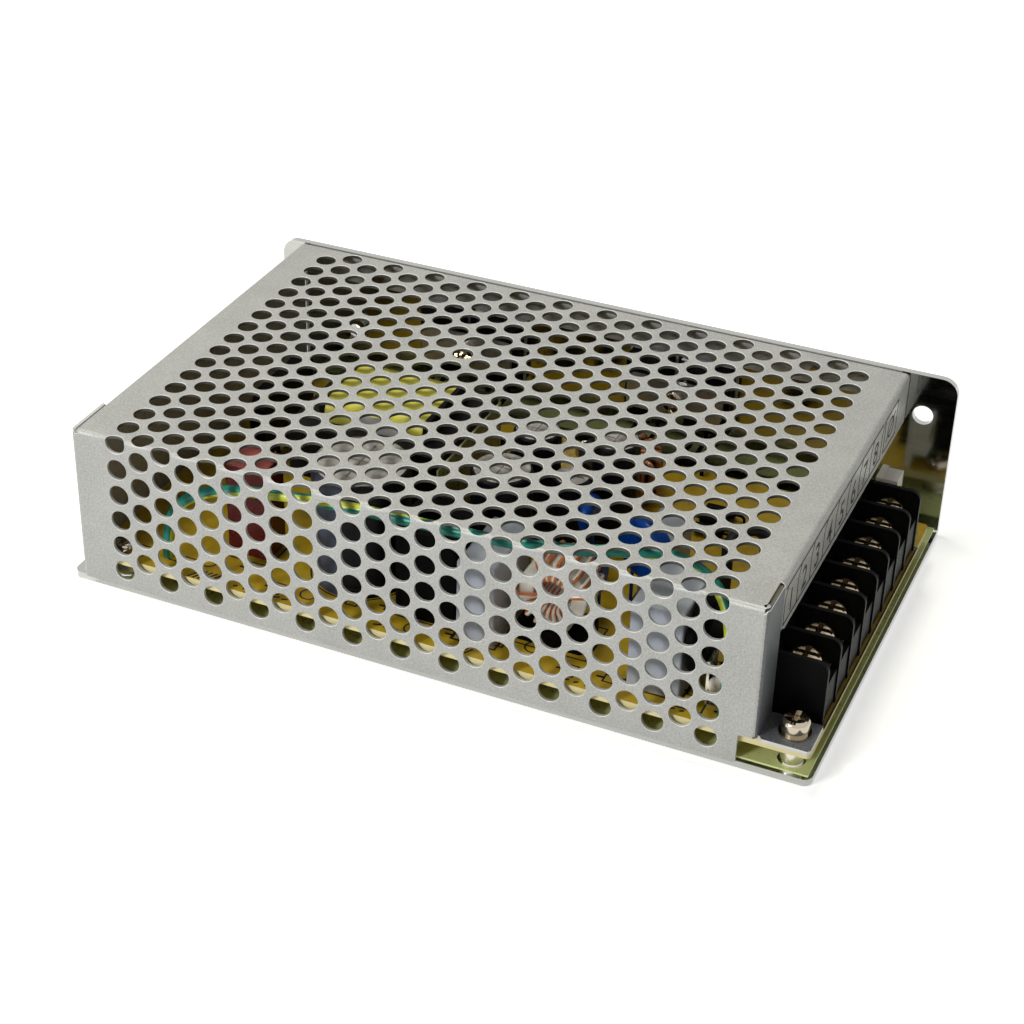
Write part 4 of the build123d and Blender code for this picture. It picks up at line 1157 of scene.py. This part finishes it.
def ribbon(line, width, thick, closed):
    """Flat ribbon of one width along a polyline in a plane, mitred at its corners.

    Each corner point is moved to both sides along the mean of the two normals there, by half the width
    over the cosine of half the turn. The ribbon lies between 0 and a thickness off the plane.
    """
    line = np.asarray(line, float)
    run = np.roll(line, -1, axis=0) - line
    if not closed:
        run = run[:-1]
    run /= np.linalg.norm(run, axis=1)[:, None]
    normal = np.stack([-run[:, 1], run[:, 0]], 1)
    if closed:
        before = np.roll(normal, 1, axis=0)
        after = normal
    else:
        before = np.concatenate([normal[:1], normal])
        after = np.concatenate([normal, normal[-1:]])
    mean = before + after
    mean /= np.linalg.norm(mean, axis=1)[:, None]
    reach = width / 2 / (mean * after).sum(1)[:, None]
    flat = np.concatenate([line + reach * mean, line - reach * mean])
    low = np.column_stack([flat, np.zeros(len(flat))])
    high = np.column_stack([flat, np.full(len(flat), thick)])
    right = len(line)
    top = 2 * right
    start = np.arange(right if closed else right - 1)
    end = (start + 1) % right
    quads = [
        (start, end, end + right, start + right),
        (start + top, start + top + right, end + top + right, end + top),
        (start, start + top, end + top, end),
        (start + right, end + right, end + top + right, start + top + right),
    ]
    faces = np.concatenate([np.stack(quad, 1) for quad in quads]).tolist()
    if not closed:
        tip = right - 1
        faces.append([0, right, top + right, top])
        faces.append([tip, tip + top, tip + top + right, tip + right])
    return np.concatenate([low, high]), faces


def strokes(lines, width, thick, closed=False):
    """Ribbons along several polylines, joined."""
    return join_shells([ribbon(line, width, thick, closed) for line in lines])


def mesh_of(name, curve):
    """Mesh of a curve or a text, with no object left over."""
    source = bpy.data.objects.new(name, curve)
    bpy.context.scene.collection.objects.link(source)
    bpy.context.view_layer.update()
    shaped = source.evaluated_get(bpy.context.evaluated_depsgraph_get())
    mesh = bpy.data.meshes.new_from_object(shaped)
    bpy.data.objects.remove(source)
    return mesh


def circle_of(x, y, radius):
    """Circle as a closed polyline."""
    return ring_points(x, y, radius, CIRCLE_SIDES).tolist()


def rectangle(x0, y0, x1, y1):
    """Rectangle as a closed polyline."""
    return [(x0, y0), (x1, y0), (x1, y1), (x0, y1)]


# Label on the lip

def on_lip(points, lift):
    """From a plane with Y across and Z up to the face of the cover's lip."""
    return np.column_stack([COVER_RIGHT_X + lift + points[:, 2], points[:, 0], points[:, 1]])


def lip_film(film):
    """Thin film under the numbers, from before the first way to past the adjuster's cell."""
    before = 0.9
    past = 12.4
    under = 0.6
    over = 0.5
    plate = thin_plate(
        y0=LABEL_FIRST_Y - before, y1=LABEL_LAST_Y + past,
        z0=LABEL_LOW_Z - under, z1=LABEL_HIGH_Z + over,
        x0=COVER_RIGHT_X + LABEL_BACK, x1=COVER_RIGHT_X + LABEL_FRONT,
    )
    add_piece("lip_label", *plate, film, slot="cover_sheet")


def adjuster_cell():
    """Cell over the adjuster, with a slashed circle in it."""
    cell_start = 2.2
    cell_end = 11.6
    slash_half = 3.0
    slash_low = 1.6
    slash_high = 6.2
    radius = 2.1
    rise = 3.9
    sides = 24
    low = LABEL_LOW_Z
    high = LABEL_HIGH_Z
    start = LABEL_LAST_Y + cell_start
    end = LABEL_LAST_Y + cell_end
    middle = (start + end) / 2
    slash = [(middle - slash_half, low + slash_low), (middle + slash_half, low + slash_high)]
    turn = np.linspace(0, 2 * np.pi, sides + 1)
    circle = np.column_stack([middle + radius * np.cos(turn), low + rise + radius * np.sin(turn)])
    return [rectangle(start, low, end, high) + [(start, low)], slash, circle.tolist()]


def lip_markings(ink, film):
    """Label on the lip: an open-topped frame with a cell for each way, numbered from 1."""
    lip_film(film)
    low = LABEL_LOW_Z
    high = LABEL_HIGH_Z
    lines = [[(LABEL_FIRST_Y, low), (LABEL_LAST_Y, low)], [(LABEL_FIRST_Y, high), (LABEL_LAST_Y, high)]]
    for way in range(WAYS + 1):
        y = LABEL_FIRST_Y + way * WAY_PITCH
        lines.append([(y, low), (y, high - TICK_SLANT), (y + TICK_SHIFT, high)])
    lines += adjuster_cell()
    points, faces = strokes(lines, LABEL_STROKE, LABEL_INK)
    add_piece("label_frame", on_lip(points, LABEL_FRONT), faces, ink, slot="block_moulding")
    for way in range(WAYS):
        add_figure(way, ink)


def add_figure(way, ink):
    """Figure over one way, in plain raised ink."""
    text = bpy.data.curves.new("figure", "FONT")
    text.body = str(way + 1)
    text.size = 7.2
    text.align_x = "CENTER"
    text.extrude = 0.007
    text.offset = 0.05
    mesh = mesh_of("figure", text)
    x = COVER_RIGHT_X + FIGURE_FRONT
    y = FIRST_WAY_Y + way * WAY_PITCH
    z = LABEL_LOW_Z + FIGURE_RISE
    upright = Matrix(((0, 0, 1, x), (1, 0, 0, y), (0, 1, 0, z), (0, 0, 0, 1)))
    mesh.transform(Matrix.Scale(MM, 4) @ upright)
    mesh.name = f"figure_{way + 1}"
    mesh.materials.append(ink)
    piece = bpy.data.objects.new(f"figure_{way + 1}", mesh)
    bpy.context.scene.collection.objects.link(piece)
    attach(piece, "case")


# Print on the board

def outline_of(node, margin):
    """Rectangle round a piece, seen from above, in millimetres."""
    low, high = (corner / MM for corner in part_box(node))
    return rectangle(low[0] - margin, low[1] - margin, high[0] + margin, high[1] + margin)


def hatch(x0, x1, y0, y1, pitch):
    """Slanted lines that fill a rectangle from one end to the other."""
    lean = (y1 - y0) * HATCH_LEAN
    return [[(x, y0), (x + lean, y1)] for x in np.arange(x0, x1 - lean, pitch)]


def part_rings():
    """Outlines round the large parts, and a circle round the bulk capacitor."""
    margin = 0.5
    low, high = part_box("bulk_capacitor")
    middle = (low + high) / 2 / MM
    rings = [outline_of(*entry) for entry in OUTLINED_PARTS]
    rings.append(circle_of(middle[0], middle[1], (high[0] - low[0]) / 2 / MM + margin))
    return rings


def small_part_rings(edge_y):
    """Outlines of a row of small parts by the board's near edge: circles, and boxes with a lead."""
    along = (5.2, 2.2)
    across = (2.4, 3.6)
    lead = 1.4
    lead_half = 0.1
    circle_rise = 1.2
    circle_radius = 1.7
    rings = []
    for number in range(PRINTED_PARTS):
        x = COVER_LEFT_X + PRINTED_START + number * PRINTED_PITCH
        y = edge_y + PRINTED_FROM_EDGE + PRINTED_STAGGER * (number * 5 % 4)
        if number % 3 == 2:
            rings.append(circle_of(x, y + circle_rise, circle_radius))
            continue
        long, short = along if number % 2 else across
        lead_y = y + short / 2
        rings.append(rectangle(x, y, x + long, y + short))
        rings.append(rectangle(x - lead, lead_y - lead_half, x, lead_y + lead_half))
    return rings


def dashes(start, count, y):
    """Row of short dashes of uneven length, each a little slanted."""
    shortest = 0.8
    longer = 0.4
    rise = 0.5
    lines = []
    for number in range(count):
        x = start + DASH_PITCH * number
        lines.append([(x, y), (x + shortest + longer * (number * 2 % 3), y + rise)])
    return lines


def board_print(ink):
    """Printed outlines of the parts on the board, hatching and dashes, with no words."""
    edge_y = NEAR_Y + SHEET + BOARD_GAP
    rings = part_rings() + small_part_rings(edge_y)
    shells = [strokes(rings, PRINT_STROKE, PRINT_THICKNESS, closed=True)]
    for start, end, far, pitch, stroke in HATCHES:
        lines = hatch(start, end, edge_y + HATCH_FROM_EDGE, edge_y + far, pitch)
        shells.append(strokes(lines, stroke, PRINT_THICKNESS))
    for start, count, from_edge in DASH_ROWS:
        shells.append(strokes(dashes(start, count, edge_y + from_edge), MARK_STROKE, PRINT_THICKNESS))
    points, faces = join_shells(shells)
    add_piece("board_print", points + (0, 0, BOARD_TOP_Z + PRINT_LIFT), faces, ink, slot="block_moulding")


# Earth wire and the label on the winding

def route(points):
    """Points along the smooth line that a wire's control points give."""
    curve = bpy.data.curves.new("route", "CURVE")
    curve.dimensions = "3D"
    curve.resolution_u = 8
    spline = curve.splines.new("NURBS")
    spline.points.add(len(points) - 1)
    for control, point in zip(spline.points, points):
        control.co = (*point, 1)
    spline.order_u = 3
    spline.use_endpoint_u = True
    mesh = mesh_of("route", curve)
    line = np.zeros(len(mesh.vertices) * 3)
    mesh.vertices.foreach_get("co", line)
    bpy.data.meshes.remove(mesh)
    return line.reshape(-1, 3)


def tube(line, radius, sides):
    """Round tube along a line, closed at both ends.

    At each point of the line, side is square to the way ahead and over is square to both. A point of
    the tube lies at line + radius * (cos turn * side + sin turn * over).
    """
    ahead = np.gradient(line, axis=0)
    ahead /= np.linalg.norm(ahead, axis=1)[:, None]
    side = np.cross(ahead, WIRE_LEAN)
    side /= np.linalg.norm(side, axis=1)[:, None]
    over = np.cross(side, ahead)
    turn = np.linspace(0, 2 * np.pi, sides, endpoint=False)[None, :, None]
    points = line[:, None] + radius * (np.cos(turn) * side[:, None] + np.sin(turn) * over[:, None])
    count = len(line)
    grid = np.arange(count * sides).reshape(count, sides)
    after = np.roll(grid, -1, axis=1)
    faces = np.stack([grid[:-1], after[:-1], after[1:], grid[1:]], -1).reshape(-1, 4).tolist()
    faces += [grid[0, ::-1].tolist(), grid[-1].tolist()]
    return points.reshape(-1, 3), faces


def map_tube(mesh, line, sides):
    """UV map of a tube: U is the share of the way round it, V the distance along its line."""
    layer = mesh.uv_layers.new(name="around_along")
    index = np.zeros(len(mesh.loops), int)
    mesh.loops.foreach_get("vertex_index", index)
    starts = np.zeros(len(mesh.polygons), int)
    mesh.polygons.foreach_get("loop_start", starts)
    totals = np.zeros(len(mesh.polygons), int)
    mesh.polygons.foreach_get("loop_total", totals)
    around = (index % sides) / sides
    highest = np.repeat(np.maximum.reduceat(around, starts), totals)
    seam = 0.1
    around = np.where((highest > 1 - seam) & (around < seam), 1.0, around)
    steps = np.linalg.norm(np.diff(line, axis=0), axis=1)
    travelled = np.concatenate([[0], np.cumsum(steps)])
    along = travelled[index // sides] / WIRE_MAP_LENGTH
    layer.data.foreach_set("uv", np.stack([around, along], 1).ravel())


def earth_wire(material):
    """Round insulated wire along its route, with a UV map that runs round it and along it."""
    line = route([(CASE_LEFT_X + x, NEAR_Y + y, z) for x, y, z in WIRE_POINTS])
    points, faces = tube(line, WIRE_RADIUS, WIRE_SIDES)
    piece = add_piece("earth_wire_striped", points, faces, material, replaces=("earth_wire",),
                      slot="green_insulation", keep_angle=50)
    map_tube(piece.data, line, WIRE_SIDES)


def transformer_label(material):
    """Thin plain label on the near side of the taped winding, under its top edge."""
    middle_share = 0.56
    half_length = 6.0
    front = 0.09
    back = 0.02
    bottom = 6.5
    top = 1.2
    low, high = (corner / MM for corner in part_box("transformer_winding"))
    x = low[0] + middle_share * (high[0] - low[0])
    corners, faces = thin_plate(
        y0=low[1] - front, y1=low[1] - back,
        z0=high[2] - bottom, z1=high[2] - top,
        x0=x - half_length, x1=x + half_length,
    )
    add_piece("transformer_label", corners, faces, material, slot="cream_moulding")


# Finishes on the carried-over pieces

def dress(node, material):
    """Gives a carried-over piece its finish."""
    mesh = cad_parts[node].data
    mesh.materials.clear()
    mesh.materials.append(material)


def dress_all():
    """Finish of every piece that keeps its solid."""
    nickel = bright_plating("nickel_plate", (0.50, 0.44, 0.35), 0.13)
    screw_metal = screw_plating()
    by_material = {
        drawn_aluminium(): ["chassis"],
        nickel: ["cover_screws", "board_screws", "foot_flat_washer", "foot_spring_washer", "clamp_screws"],
        bright_plating("tin_plate", (0.68, 0.65, 0.57), 0.24):
            ["terminal_contacts", "fuse_caps", "fuse_clips", "board_standoffs"],
        black_moulding():
            ["terminal_block", "line_filter", "thermistor", "bridge_rectifier", "control_parts",
             "power_devices", "choke_base"],
        ground_ferrite(): ["transformer_core", "output_choke_core", "transformer_bobbin"],
        grey_moulding(): ["filter_capacitor_1", "filter_capacitor_2", "output_relay"],
        cream_moulding(): ["trimmer_body", "choke_core"],
        yellow_tape(): ["transformer_winding"],
        clear_film("olive_film", (0.76, 0.85, 0.38), 0.2): ["insulating_sheet"],
        # The barrier is the same film as the insulating sheet, painted darker olive as shade
        clear_film("barrier_film_painted_shade", (0.48, 0.47, 0.16), 0.3): ["barrier_sheet"],
        board_lacquer(): ["circuit_board"],
        lamp_glass(): ["indicator_lamp"],
        fuse_glass(): ["fuse_tube"],
        two_strand_winding(): ["choke_windings"],
        copper_wire(): ["output_choke_winding"],
        blue_coat(): ["varistor", "safety_capacitors"],
        red_coat(): ["film_capacitor"],
        black_sleeve(): ["sleeved_link"],
        pad_rubber(): ["insulator_pads"],
        bar_steel(): ["clamp_bars"],
        rotor_brass(): ["trimmer_rotor"],
        can_finish("bulk_sleeve", BULK_TOP_Z, (0.07, 0.08, 0.115), BULK_CENTRE, -115): ["bulk_capacitor"],
        can_finish("output_sleeve", OUTPUT_TOP_Z): ["output_capacitors"],
    }
    for material, nodes in by_material.items():
        for node in nodes:
            dress(node, material)
    for way in range(1, WAYS + 1):
        dress(f"clamp_plate_{way}", nickel)
        dress(f"terminal_screw_{way}", screw_metal)


place_camera()
light_studio()
lay_floor()
set_view()
dress_all()
build_cover(plated_sheet())
INK = printed_ink()
lip_markings(INK, label_film())
board_print(INK)
earth_wire(striped_insulation())
transformer_label(white_paper())
